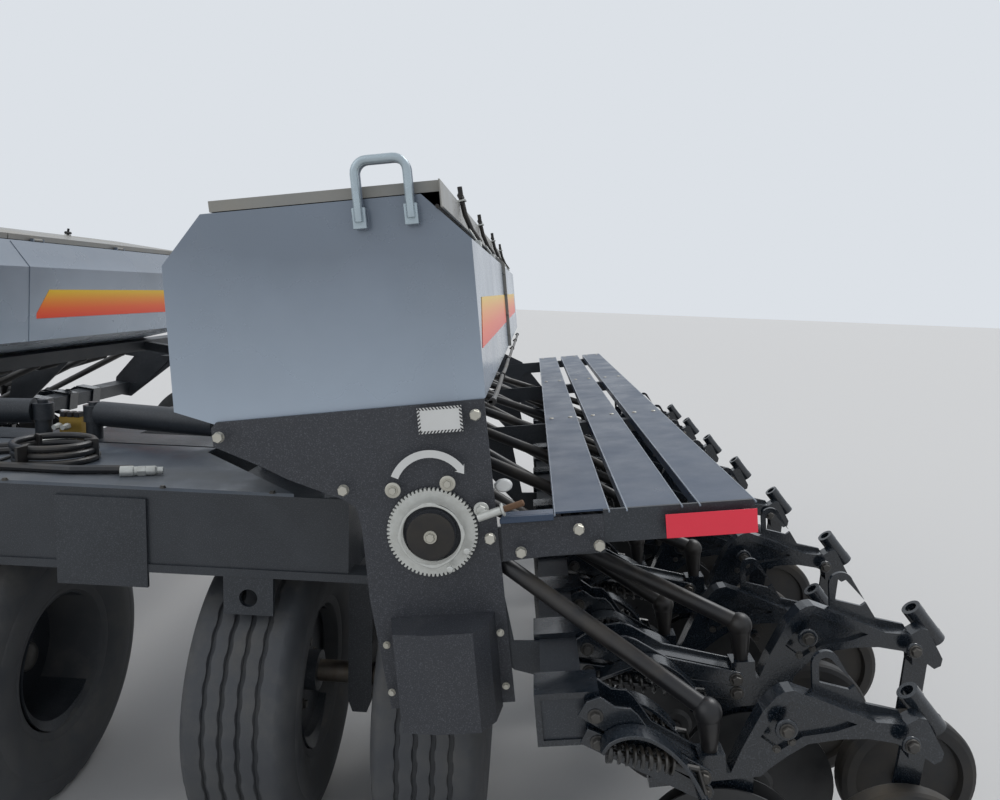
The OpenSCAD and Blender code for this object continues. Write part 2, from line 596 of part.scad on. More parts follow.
// Opener body in u and v, for a rank whose body sits lower by d
function body_outline(d) = [[1050, -716 + 0.5 * d], [1112, -690], [1204, -690], [1228, -640], [1268, -570],
    [1296, -541], [1310, -534], [1326, -532], [1400, -566], [1475, -604], [1530, -612], [1552, -600], [1566, -604],
    [1596, -672], [1592, -688], [1578, -694], [1552, -672], [1510, -648], [1460, -636], [1410, -634], [1349, -640],
    [1310, -662], [1278, -694 + 0.2 * d], [1260, -750 + d], [1050, -762 + d]];
pocket_outline = [[1262, -620], [1300, -566], [1322, -552], [1440, -606], [1400, -618], [1340, -624], [1296, -650]];
pocket_depth = 9;
// Depth plate with its handle loop, beside the body
loop_at = [1398, -502];
loop_r = 26;
slot_r = 13;
depth_plate = [[1372, -502], [1372, -552], [1352, -566], [1352, -590], [1540, -628], [1530, -604], [1470, -586], [1419, -487]];
slot_outline = [[1385, -502], [1385, -538], [1440, -556], [1452, -548], [1409, -494]];
depth_plate_t = 7;
sleeve_r = 21;
sleeve_bore = 12.5;
shank_outline = [[1120, -745], [1250, -745], [1235, disc_v - 20], [1215, disc_v - 60], [1160, disc_v - 60], [1140, disc_v]];
body_t = 36;
hub_half = 15.2;
press_arm_t = 8;
sleeve_a = [1554, -573];
sleeve_b = [1607, -653];
sleeve_l = norm(sleeve_b - sleeve_a);
sleeve_turn = 90 + atan2(sleeve_a[1] - sleeve_b[1], sleeve_b[0] - sleeve_a[0]);
// Bored sleeve on the tail, with a window in its outer side
module opener_sleeve(y) translate([sleeve_a[0], y, sleeve_a[1]]) rotate([0, sleeve_turn, 0]) difference() {
    cylinder(r = sleeve_r, h = sleeve_l, $fn = 32);
    translate([0, 0, -1]) cylinder(r = sleeve_bore, h = sleeve_l + 2, $fn = 32);
    translate([-50, -9, 22]) cube([50, 18, sleeve_l - 40]);
}
module opener_arm(i) {
    s = rank_shift[rank(i)];
    y = row_y(i);
    translate([s[0], 0, s[1]]) {
        difference() {
            along_y(y - body_t / 2, body_t) polygon(body_outline(-s[1]));
            for (t = [-body_t / 2 - 1, body_t / 2 - pocket_depth]) along_y(y + t, pocket_depth + 1) polygon(pocket_outline);
        }
        translate([boot_u - boot_tip_r - 10, y - boot_tip_r - 6, boot_v - 50])
            cube([2 * boot_tip_r + 20, 2 * boot_tip_r + 12, 50]);
        along_y(y + body_t / 2 - 1, depth_plate_t + 1) difference() {
            union() {
                translate(loop_at) circle(r = loop_r, $fn = 32);
                polygon(depth_plate);
            }
            translate([loop_at[0] + 0.2, loop_at[1]]) circle(r = slot_r, $fn = 32);
            polygon(slot_outline);
        }
        opener_sleeve(y + body_t / 2 + sleeve_r - 5);
    }
    // Shank between the blades with their hub, then the press wheel's arm and axle
    translate([s[0], 0, 0]) {
        along_y(y - 6, 12) polygon(shank_outline);
        along_y(y - hub_half, 2 * hub_half) translate([disc_u, disc_v]) circle(r = 28);
        along_y(y + press_w / 2 + 6, press_arm_t) polygon([[1540, -690 + s[1]], [1590, -690 + s[1]], [press_u + 24, press_v - 20],
            [press_u, press_v - 28], [press_u - 24, press_v - 10]]);
        along_y(y - press_w / 2 - 6, press_w + 20) translate([press_u, press_v]) circle(r = 14);
        along_y(y, press_w / 2 + 14) polygon([[1540, -650 + s[1]], [1590, -650 + s[1]], [1585, -692 + s[1]], [1540, -692 + s[1]]]);
    }
    // Parallel links from the bar's clamp to the body
    for (z = [[-575, -672], [-628, -702]])
        along_y(y - 30, 60) polygon([[bar_u + bar_w, z[0] - 10], [bar_u + bar_w, z[0] + 10],
            [1150 + s[0], z[1] + s[1] + 10], [1150 + s[0], z[1] + s[1] - 10]]);
    difference() {
        translate([bar_u - 12, y - clamp_half, bar_low - 12]) cube([bar_w + 40, 2 * clamp_half, bar_w + 24]);
        translate([bar_u - 0.3, y - clamp_half - 1, bar_low - 0.3])
            cube([bar_w + 0.6, 2 * clamp_half + 2, bar_w + 0.6]);
    }
}
module opener_arms(side) color(frame_black) on_wing(side) for (i = [0 : rows - 1]) opener_arm(i);

module discs(side) color(steel) on_wing(side) for (i = [0 : rows - 1], s = [-1, 1])
    translate([disc_u + rank_shift[rank(i)][0], row_y(i) + s * 20, disc_v]) rotate([0, 0, 5 * s])
        rotate([-90 * s, 0, 0]) {
            translate([0, 0, -2]) cylinder(d = disc_d, h = 4, $fn = 72);
            translate([0, 0, 1]) cylinder(r1 = 44, r2 = 34, h = 9, $fn = 32);
            translate([0, 0, 1]) cylinder(r = 14, h = 17, $fn = 24);
        }

// Half section of a press wheel: radius and half width, from bore to tread
press_half = [[14 + fit, press_w / 2], [32, press_w / 2], [34, 12], [112, 9], [116, press_w / 2 - 1],
    [136, press_w / 2], [146, press_w / 2 - 5], [press_d / 2, press_w / 2 - 12]];
module press_wheels(side, r) color(rubber) on_wing(side) for (i = [r : 2 : rows - 1])
    translate([press_u + rank_shift[r][0], row_y(i), press_v]) rotate([90, 0, 0]) rotate_extrude($fn = 72)
        polygon(concat([for (p = press_half) [p[0], -p[1]]], [for (k = [len(press_half) - 1 : -1 : 0]) press_half[k]]));

module wing_tyre(side) color(rubber) on_wing(side) translate([wing_wheel_u, wing_wheel_y, wing_wheel_v])
    rotate([90, 0, 0]) tyre(wing_tyre_r, wing_tyre_w, 165.3);
module wing_rim(side) color(frame_black) on_wing(side) translate([wing_wheel_u, wing_wheel_y, wing_wheel_v])
    rotate([90, 0, 0]) rim(165, wing_tyre_w, 10, 25 + fit);

rear_beam();
deck();
wheel_struts();
axles();
drawbar();
hitch_clevis();
jack_stand();
wing_rest();
coupler_block();
hydraulic_hoses();
twin_tyres(1);  // right_tyres
twin_rims(1);  // right_rims
twin_tyres(-1);  // left_tyres
twin_rims(-1);  // left_rims
centre_tyre();
centre_rim();
fold_arm(1);  // right_fold_arm
fold_barrel(1);  // right_fold_barrel
fold_rod(1);  // right_fold_rod
wing_frame(1);  // right_frame
end_plates(1);  // right_end_plates
seed_box(1);  // right_seed_box
lid(1, rear_lid_span);  // right_rear_lid
lid(1, front_lid_span);  // right_front_lid
walkboard(1);  // right_walkboard
drive_gear(1);  // right_drive_gear
drive_cover(1);  // right_drive_cover
meters(1);  // right_meters
seed_tubes(1);  // right_seed_tubes
opener_arms(1);  // right_opener_arms
discs(1);  // right_discs
press_wheels(1, 0);  // right_near_press_wheels
press_wheels(1, 1);  // right_far_press_wheels
wing_tyre(1);  // right_wing_tyre
wing_rim(1);  // right_wing_rim
fold_arm(-1);  // left_fold_arm
fold_barrel(-1);  // left_fold_barrel
fold_rod(-1);  // left_fold_rod
wing_frame(-1);  // left_frame
end_plates(-1);  // left_end_plates
seed_box(-1);  // left_seed_box
lid(-1, rear_lid_span);  // left_rear_lid
lid(-1, front_lid_span);  // left_front_lid
walkboard(-1);  // left_walkboard
drive_gear(-1);  // left_drive_gear
drive_cover(-1);  // left_drive_cover
meters(-1);  // left_meters
seed_tubes(-1);  // left_seed_tubes
opener_arms(-1);  // left_opener_arms
discs(-1);  // left_discs
press_wheels(-1, 0);  // left_near_press_wheels
press_wheels(-1, 1);  // left_far_press_wheels
wing_tyre(-1);  // left_wing_tyre
wing_rim(-1);  // left_wing_rim
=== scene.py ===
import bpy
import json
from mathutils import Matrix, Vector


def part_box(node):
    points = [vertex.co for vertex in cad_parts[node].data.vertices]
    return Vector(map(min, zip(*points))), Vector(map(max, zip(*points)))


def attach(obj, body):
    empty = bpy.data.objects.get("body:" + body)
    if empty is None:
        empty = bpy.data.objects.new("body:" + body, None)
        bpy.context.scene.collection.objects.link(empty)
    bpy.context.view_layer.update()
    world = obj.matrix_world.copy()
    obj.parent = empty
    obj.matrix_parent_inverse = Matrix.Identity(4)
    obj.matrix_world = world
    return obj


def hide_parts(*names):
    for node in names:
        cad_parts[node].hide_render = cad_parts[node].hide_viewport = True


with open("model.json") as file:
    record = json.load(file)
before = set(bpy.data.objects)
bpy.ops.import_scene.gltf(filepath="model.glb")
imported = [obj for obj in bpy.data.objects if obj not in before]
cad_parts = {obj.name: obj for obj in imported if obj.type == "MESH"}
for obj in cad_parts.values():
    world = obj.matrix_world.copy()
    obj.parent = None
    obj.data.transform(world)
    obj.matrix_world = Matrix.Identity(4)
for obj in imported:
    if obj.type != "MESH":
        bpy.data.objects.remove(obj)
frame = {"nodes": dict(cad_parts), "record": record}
"""Looks of the folded seed drill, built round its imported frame.

Metres throughout. The machine's frame has +X to the right, +Y towards the hitch and +Z up. A wing's own
section is drawn level, with u outwards, y along the wing from its rear end and v up.
"""
import json
import logging
import math
import random
from dataclasses import dataclass
from enum import Enum
from typing import Callable, Iterable, Optional, Sequence

import bmesh
import bpy
from mathutils import Matrix, Vector

LOG = logging.getLogger("drill")
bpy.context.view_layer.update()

Point = Sequence[float]
Place = Callable[[float, float, float], Vector]


class Side(Enum):
    """The two wings."""

    RIGHT = 1
    LEFT = -1

    @property
    def word(self) -> str:
        """The name that its nodes and bodies start with."""
        return self.name.lower()


@dataclass(frozen=True)
class Layout:
    """Places that more than one sub-assembly needs."""

    rear_y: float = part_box("right_seed_box")[0][1]
    lean: float = math.radians(7)
    wing_x: float = 0.660
    wing_z: float = 1.200
    rows: int = 15
    row_pitch: float = 0.254
    first_row: float = -0.200
    shift: tuple = ((-0.128, -0.050), (0.0, 0.0))

    def row_y(self, row: int) -> float:
        """Place of a row along the wing."""
        return self.first_row + self.row_pitch * row

    def on_wing(self, side: Side) -> Place:
        """Gives the function that turns wing coordinates into the machine's.

        Args:
            side: The wing.

        Returns:
            A function of u, y and v that gives a point of the machine's frame.
        """
        c, s = math.cos(self.lean), math.sin(self.lean)

        def at(u: float, y: float, v: float) -> Vector:
            """One point of the wing in the machine's frame."""
            return Vector((side.value * (self.wing_x + u * c - v * s), self.rear_y + y,
                           self.wing_z + u * s + v * c))

        return at

    def on_deck(self, x: float, y: float, z: float) -> Vector:
        """A point by X, distance from the wings' rear ends, and height."""
        return Vector((x, self.rear_y + y, z))


LAY = Layout()


def linear(r: int, g: int, b: int) -> tuple[float, float, float, float]:
    """Turns a display colour of 0 to 255 into the values that a shader takes."""
    def one(c: float) -> float:
        """One channel."""
        c /= 255
        return c / 12.92 if c <= 0.04045 else ((c + 0.055) / 1.055) ** 2.4
    return (one(r), one(g), one(b), 1.0)


# Shader node groups


class NodeMaker:
    """Adds nodes to one shader tree and joins them."""

    def __init__(self, tree: bpy.types.NodeTree) -> None:
        """Takes the tree that the nodes go into."""
        self.tree = tree

    def node(self, kind: str, inputs: Optional[dict] = None, **values: object) -> bpy.types.Node:
        """Adds a node.

        Args:
            kind: Its type, without the word that every shader node starts with.
            inputs: Value of each input that doesn't stay at its default.
            values: Its properties.

        Returns:
            The new node.
        """
        made = self.tree.nodes.new("ShaderNode" + kind)
        for key, value in values.items():
            setattr(made, key, value)
        for key, value in (inputs or {}).items():
            made.inputs[key].default_value = value
        return made

    def group(self, name: str, inputs: dict) -> bpy.types.Node:
        """Adds one of the node groups with its own values."""
        node = self.node("Group")
        node.node_tree = GROUPS[name]
        for key, value in inputs.items():
            node.inputs[key].default_value = value
        return node

    def join(self, *links: tuple) -> None:
        """Joins sockets, each link given as a node, its output, the next node and its input."""
        for source, out, target, into in links:
            self.tree.links.new(source.outputs[out], target.inputs[into])

    def bump(self, grain: bpy.types.Node, shader: bpy.types.Node, strength: float, depth: float) -> None:
        """Turns the height of the grain into the shader's normal."""
        bump = self.node("Bump", {"Strength": strength, "Distance": depth})
        self.join((grain, "Height", bump, "Height"), (bump, "Normal", shader, "Normal"))


class GroupMaker(NodeMaker):
    """Builds one shader node group with named sockets."""

    def __init__(self, name: str, inputs: Sequence[tuple], outputs: Sequence[tuple]) -> None:
        """Makes the empty group.

        Args:
            name: Name of the group.
            inputs: Name, socket kind and default of each input.
            outputs: Name and socket kind of each output.
        """
        super().__init__(bpy.data.node_groups.new(name, "ShaderNodeTree"))
        for label, kind, default in inputs:
            sock = self.tree.interface.new_socket(name=label, in_out="INPUT", socket_type=kind)
            sock.default_value = default
        for label, kind in outputs:
            self.tree.interface.new_socket(name=label, in_out="OUTPUT", socket_type=kind)
        self.source = self.tree.nodes.new("NodeGroupInput")
        self.sink = self.tree.nodes.new("NodeGroupOutput")

    def lay(self, mask: bpy.types.Node, label: str) -> bpy.types.Node:
        """Lays a colour over the incoming one, as far as a mask and the amount allow.

        Args:
            mask: The node whose first output is the mask.
            label: Input of the group that holds the colour.

        Returns:
            The node that gives the mask times the amount.
        """
        much = self.node("Math", operation="MULTIPLY", use_clamp=True)
        mix = self.node("Mix", data_type="RGBA")
        self.join((mask, 0, much, 0), (self.source, "Amount", much, 1), (much, 0, mix, "Factor"),
                  (self.source, "Color", mix, "A"), (self.source, label, mix, "B"),
                  (mix, "Result", self.sink, "Color"))
        return much


FLOAT, COLOUR = "NodeSocketFloat", "NodeSocketColor"
UNDER = ("Color", COLOUR, (0.5, 0.5, 0.5, 1))


def grain_group() -> bpy.types.NodeTree:
    """Fine surface grain: a height for bump and a mask of -0.5 to 0.5 for roughness."""
    g = GroupMaker("fine grain", [("Scale", FLOAT, 400.0), ("Wave Scale", FLOAT, 20.0), ("Wave", FLOAT, 0.3)],
                   [("Height", FLOAT), ("Mask", FLOAT)])
    place, fine, broad = g.node("TexCoord"), g.node("TexNoise", {"Detail": 2.0}), g.node("TexNoise",
                                                                                         {"Detail": 3.0})
    scaled, both = g.node("Math", operation="MULTIPLY"), g.node("Math", operation="ADD")
    centred = g.node("Math", {1: 0.5}, operation="SUBTRACT")
    for tex, label in ((fine, "Scale"), (broad, "Wave Scale")):
        g.join((place, "Object", tex, "Vector"), (g.source, label, tex, "Scale"))
    g.join((broad, "Fac", scaled, 0), (g.source, "Wave", scaled, 1), (fine, "Fac", both, 0),
           (scaled, 0, both, 1), (both, 0, g.sink, "Height"), (broad, "Fac", centred, 0),
           (centred, 0, g.sink, "Mask"))
    return g.tree


def dust_group() -> bpy.types.NodeTree:
    """Field dust that lies on upward faces and in patches: a colour and its mask."""
    g = GroupMaker("field dust", [UNDER, ("Dust", COLOUR, linear(150, 132, 105)), ("Amount", FLOAT, 0.3),
                                  ("Patch Scale", FLOAT, 6.0)], [("Color", COLOUR), ("Mask", FLOAT)])
    place, surface, split = g.node("TexCoord"), g.node("NewGeometry"), g.node("SeparateXYZ")
    up = g.node("MapRange", {"From Min": -0.3, "From Max": 1.0, "To Min": 0.25})
    patch = g.node("TexNoise", {"Detail": 6.0, "Roughness": 0.65})
    spread = g.node("MapRange", {"From Min": 0.42, "From Max": 0.72})
    both = g.node("Math", operation="MULTIPLY")
    g.join((place, "Object", patch, "Vector"), (g.source, "Patch Scale", patch, "Scale"),
           (surface, "Normal", split, 0), (split, "Z", up, "Value"), (patch, "Fac", spread, "Value"),
           (up, 0, both, 0), (spread, 0, both, 1))
    g.join((g.lay(both, "Dust"), 0, g.sink, "Mask"))
    return g.tree


def fleck_group() -> bpy.types.NodeTree:
    """Small pale flecks and dried drops, spread evenly over a colour."""
    g = GroupMaker("flecks", [UNDER, ("Fleck", COLOUR, linear(118, 122, 128)), ("Amount", FLOAT, 0.5),
                              ("Scale", FLOAT, 420.0)], [("Color", COLOUR)])
    place, fine = g.node("TexCoord"), g.node("TexNoise", {"Detail": 1.0})
    spots = g.node("MapRange", {"From Min": 0.56, "From Max": 0.68})
    g.join((place, "Object", fine, "Vector"), (g.source, "Scale", fine, "Scale"),
           (fine, "Fac", spots, "Value"))
    g.lay(spots, "Fleck")
    return g.tree


# Pale sky-blue layer over the lower walls: a painted reflection of the pale ground, not dust.
def foot_reflection_group() -> bpy.types.NodeTree:
    """Painted reflection of the pale ground over the lower part of a wall, lighter towards its foot, with a
    soft uneven upper edge.
    """
    g = GroupMaker("painted foot reflection", [UNDER, ("Film", COLOUR, linear(190, 204, 218)), ("Low", FLOAT, 1.05),
                                    ("High", FLOAT, 1.62), ("Amount", FLOAT, 0.6)], [("Color", COLOUR)])
    place, split = g.node("TexCoord"), g.node("SeparateXYZ")
    uneven = g.node("TexNoise", {"Scale": 3.0, "Detail": 4.0})
    lifted = g.node("Math", {1: 0.16}, operation="MULTIPLY_ADD")
    span = g.node("MapRange", {"To Min": 1.0, "To Max": 0.0})
    g.join((place, "Object", split, 0), (place, "Object", uneven, "Vector"), (uneven, "Fac", lifted, 0),
           (split, "Z", lifted, 2), (lifted, 0, span, "Value"), (g.source, "Low", span, "From Min"),
           (g.source, "High", span, "From Max"))
    g.lay(span, "Film")
    return g.tree


GROUPS: dict[str, bpy.types.NodeTree] = {"grain": grain_group(), "dust": dust_group(),
                                         "flecks": fleck_group(), "foot_reflection": foot_reflection_group()}


# Finishes

DRY_SOIL = (0.30, 0.235, 0.15, 1.0)


@dataclass(frozen=True)
class Surface:
    """A surface that makes its material when it is first used."""

    name: str

    def material(self) -> bpy.types.Material:
        """Gives the material, built on first use.

        Returns:
            The material of this surface.
        """
        found = bpy.data.materials.get(self.name)
        if not found:
            found = bpy.data.materials.new(self.name)
            found.use_nodes = True
            self.wire(NodeMaker(found.node_tree), found.node_tree.nodes["Principled BSDF"])
        return found

    def wire(self, maker: NodeMaker, shader: bpy.types.Node) -> None:
        """Joins the surface's own nodes to its shader."""
        raise NotImplementedError


@dataclass(frozen=True)
class Finish(Surface):
    """A painted, moulded or bare surface with grain, slow colour change and dust.

    The colour drifts between base and other, a painted reflection of the pale ground lightens a wall
    towards its foot, flecks and then dust lie on top, and grain gives bump and uneven gloss. Colours are
    display values of 0 to 255.
    """

    base: tuple
    other: tuple
    roughness: float = 0.5
    metallic: float = 0.0
    grain: float = 400.0
    bump: float = 0.1
    depth: float = 0.0005
    wave: float = 0.3
    wave_scale: float = 9.0
    dust: float = 0.25
    dust_colour: tuple = ()
    patch: float = 7.0
    coat: float = 0.0
    flecks: float = 0.0
    foot_reflection: float = 0.0

    def wire(self, maker: NodeMaker, shader: bpy.types.Node) -> None:
        """Wires grain, colour change, a painted reflection at a wall's foot, flecks and dust.

        Args:
            maker: Adds nodes to the material.
            shader: The shader that they end in.
        """
        grain = maker.group("grain", {"Scale": self.grain, "Wave": self.wave, "Wave Scale": self.wave_scale})
        shade = maker.node("Math", {1: 0.5}, operation="ADD", use_clamp=True)
        last = maker.node("Mix", data_type="RGBA")
        for key, colour in (("A", self.base), ("B", self.other)):
            last.inputs[key].default_value = linear(*colour)
        maker.join((grain, "Mask", shade, 0), (shade, 0, last, "Factor"))
        out = "Result"
        # The first layer lightens a wall towards its foot: a painted reflection of the pale ground.
        for name, amount in (("foot_reflection", self.foot_reflection), ("flecks", self.flecks)):
            if amount:
                layer = maker.group(name, {"Amount": amount})
                maker.join((last, out, layer, "Color"))
                last, out = layer, "Color"
        dust = maker.group("dust", {"Amount": self.dust, "Patch Scale": self.patch,
                                    "Dust": linear(*self.dust_colour) if self.dust_colour else DRY_SOIL})
        rough = maker.node("Math", {1: 0.35, 2: self.roughness}, operation="MULTIPLY_ADD", use_clamp=True)
        dusty = maker.node("Math", operation="ADD", use_clamp=True)
        maker.join((last, out, dust, "Color"), (dust, "Color", shader, "Base Color"),
                   (grain, "Mask", rough, 0), (rough, 0, dusty, 0), (dust, "Mask", dusty, 1),
                   (dusty, 0, shader, "Roughness"))
        maker.bump(grain, shader, self.bump, self.depth)
        for key, value in (("Metallic", self.metallic), ("Coat Weight", self.coat), ("Coat Roughness", 0.12)):
            shader.inputs[key].default_value = value


@dataclass(frozen=True)
class StripeFinish(Surface):
    """A printed stripe that fades from yellow at its top to red-orange at its foot.

    Its foot and top are heights above the ground.
    """

    low: float
    high: float
    fade: tuple = ((0.0, (240, 62, 26)), (0.35, (246, 96, 20)), (0.7, (244, 148, 8)), (1.0, (238, 192, 6)))

    def wire(self, maker: NodeMaker, shader: bpy.types.Node) -> None:
        """Wires the fade over the height, a little dust and a fine grain.

        Args:
            maker: Adds nodes to the material.
            shader: The shader that they end in.
        """
        place, split, ramp = maker.node("TexCoord"), maker.node("SeparateXYZ"), maker.node("ValToRGB")
        span = maker.node("MapRange", {"From Min": self.low, "From Max": self.high})
        steps = [(at, linear(*colour)) for at, colour in self.fade]
        stops = ramp.color_ramp.elements
        stops[0].position, stops[0].color = steps[0]
        stops[1].position, stops[1].color = steps[-1]
        for at, colour in steps[1:-1]:
            stops.new(at).color = colour
        dust = maker.group("dust", {"Amount": 0.02})
        maker.join((place, "Object", split, 0), (split, "Z", span, "Value"), (span, 0, ramp, "Fac"),
                   (ramp, "Color", dust, "Color"), (dust, "Color", shader, "Base Color"))
        maker.bump(maker.group("grain", {"Scale": 900.0, "Wave": 0.2}), shader, 0.05, 0.0003)
        shader.inputs["Roughness"].default_value = 0.32


# Box paint: its last setting lightens the walls towards their foot, a painted reflection of the pale ground.
BOX_PAINT = Finish("box paint", (124, 134, 146), (112, 122, 134), roughness=0.27, metallic=0.25, grain=1400.0,
                   bump=0.04, wave=0.5, wave_scale=3.0, dust=0.06, coat=0.4, foot_reflection=1.0)
LID_PAINT = Finish("lid paint", (128, 130, 130), (146, 142, 132), roughness=0.42, metallic=0.15, grain=900.0,
                   bump=0.05, dust=0.45, dust_colour=(178, 168, 146), patch=3.0, coat=0.2)
FRAME_PAINT = Finish("textured black paint", (36, 40, 45), (47, 51, 56), roughness=0.38, grain=700.0,
                     bump=0.45, depth=0.0009, wave=0.2, dust=0.15, dust_colour=(116, 120, 124), flecks=0.20)
PLATE_PAINT = Finish("speckled black paint", (44, 46, 51), (56, 58, 63), roughness=0.52, grain=520.0,
                     bump=0.7, depth=0.0011, wave=0.15, dust=0.10, dust_colour=(120, 118, 114), flecks=0.30)
CAST_PAINT = Finish("black casting paint", (10, 17, 24), (19, 27, 35), roughness=0.22, grain=160.0, bump=0.35,
                    depth=0.001, wave=0.8, wave_scale=24.0, dust=0.10, dust_colour=(82, 94, 104),
                    coat=0.45, flecks=0.16)
PLANK_PAINT = Finish("plank paint", (54, 68, 88), (66, 81, 102), roughness=0.34, metallic=0.35, grain=520.0,
                     bump=0.35, depth=0.0006, dust=0.10, dust_colour=(132, 136, 138), flecks=0.12)
DECK_PAINT = Finish("deck paint", (66, 74, 84), (90, 98, 108), roughness=0.33, metallic=0.3, grain=300.0,
                    bump=0.2, dust=0.45, dust_colour=(146, 144, 138), patch=4.0, flecks=0.2)
ZINC = Finish("zinc plate", (214, 216, 212), (186, 186, 178), roughness=0.38, metallic=0.45, grain=900.0,
              bump=0.25, wave=0.9, wave_scale=60.0, dust=0.12)
BOLT_ZINC = Finish("bolt zinc", (206, 204, 194), (176, 172, 158), roughness=0.36, metallic=0.6, grain=1200.0,
                   bump=0.15, dust=0.12)
HANDLE_ZINC = Finish("handle zinc", (186, 200, 206), (164, 176, 182), roughness=0.30, metallic=0.5,
                     grain=900.0, bump=0.15, wave=0.9, wave_scale=40.0, dust=0.06)
DISC_STEEL = Finish("worn black disc", (34, 36, 39), (66, 66, 66), roughness=0.36, metallic=0.45, grain=500.0,
                    bump=0.2, wave=1.0, wave_scale=16.0, dust=0.18, dust_colour=(104, 98, 88))
BARE_STEEL = Finish("worn steel", (120, 116, 110), (86, 76, 66), roughness=0.42, metallic=0.8, grain=500.0,
                    bump=0.3, wave=1.0, wave_scale=30.0, dust=0.3)
TYRE_RUBBER = Finish("tyre rubber", (60, 62, 66), (76, 78, 80), roughness=0.66, grain=420.0, bump=0.35,
                     depth=0.0012, dust=0.55, dust_colour=(128, 124, 116), patch=9.0)
SOFT_RUBBER = Finish("soft black rubber", (22, 22, 23), (30, 30, 31), roughness=0.62, grain=600.0,
                     bump=0.2, dust=0.22)
HOSE_RUBBER = Finish("woven hose cover", (26, 27, 30), (40, 42, 46), roughness=0.42, grain=900.0, bump=0.3,
                     dust=0.25, coat=0.1)
BLACK_PLASTIC = Finish("moulded black plastic", (20, 20, 22), (28, 28, 30), roughness=0.40, grain=800.0,
                       bump=0.15, dust=0.20)
OCHRE = Finish("ochre chromate", (186, 156, 74), (150, 120, 60), roughness=0.4, metallic=0.6,
               grain=500.0, bump=0.2)
RED_REFLECTOR = Finish("red reflector", (250, 40, 70), (236, 34, 60), roughness=0.30, grain=240.0, bump=0.6,
                       depth=0.0006, dust=0.03, coat=0.4)
BLANK_LABEL = Finish("blank white label", (224, 224, 220), (206, 206, 202), roughness=0.45, grain=900.0,
                     bump=0.05, dust=0.15)
LABEL_EDGE = Finish("label border", (40, 40, 42), (52, 52, 54), roughness=0.45, grain=900.0,
                    bump=0.05, dust=0.1)
SPRING_PAINT = Finish("spring paint", (18, 20, 22), (30, 32, 34), roughness=0.28, grain=700.0, bump=0.15,
                      dust=0.18, coat=0.3)
BLACK_BOLT = Finish("blackened bolt", (52, 52, 53), (88, 86, 82), roughness=0.34, metallic=0.5, grain=900.0,
                    bump=0.2, wave=1.0, wave_scale=40.0, dust=0.2)
RUSTY_STEEL = Finish("rusty steel", (132, 104, 80), (96, 68, 50), roughness=0.7, metallic=0.35, grain=600.0,
                     bump=0.5, wave=1.0, wave_scale=50.0, dust=0.2)
# Pale blue-white edge colour: a painted highlight along the planks' folded edges.
PLANK_EDGE_HIGHLIGHT = Finish("plank edge highlight", (150, 160, 172), (96, 106, 118), roughness=0.28, metallic=0.55,
                    grain=520.0, bump=0.15, depth=0.0004, wave=1.0, wave_scale=14.0, dust=0.10)
GREY_CABLE = Finish("grey cable sleeve", (118, 118, 116), (92, 92, 92), roughness=0.6, grain=700.0, bump=0.3)
OUTER_STRIPE = StripeFinish("outer stripe", 1.360, 1.462)
INNER_STRIPE = StripeFinish("inner stripe", 1.290, 1.405)


# Mesh building


def straight(x: float, y: float, z: float) -> Vector:
    """Places a point as it is given."""
    return Vector((x, y, z))


def spin(count: int) -> list[tuple[float, float]]:
    """Cosine and sine at even steps of a full turn."""
    return [(math.cos(t), math.sin(t)) for t in (2 * math.pi * k / count for k in range(count))]


def polar(centre: Point, radius: float, angle: float) -> tuple[float, float]:
    """A point on a circle, at an angle in degrees."""
    turn = math.radians(angle)
    return (centre[0] + radius * math.cos(turn), centre[1] + radius * math.sin(turn))


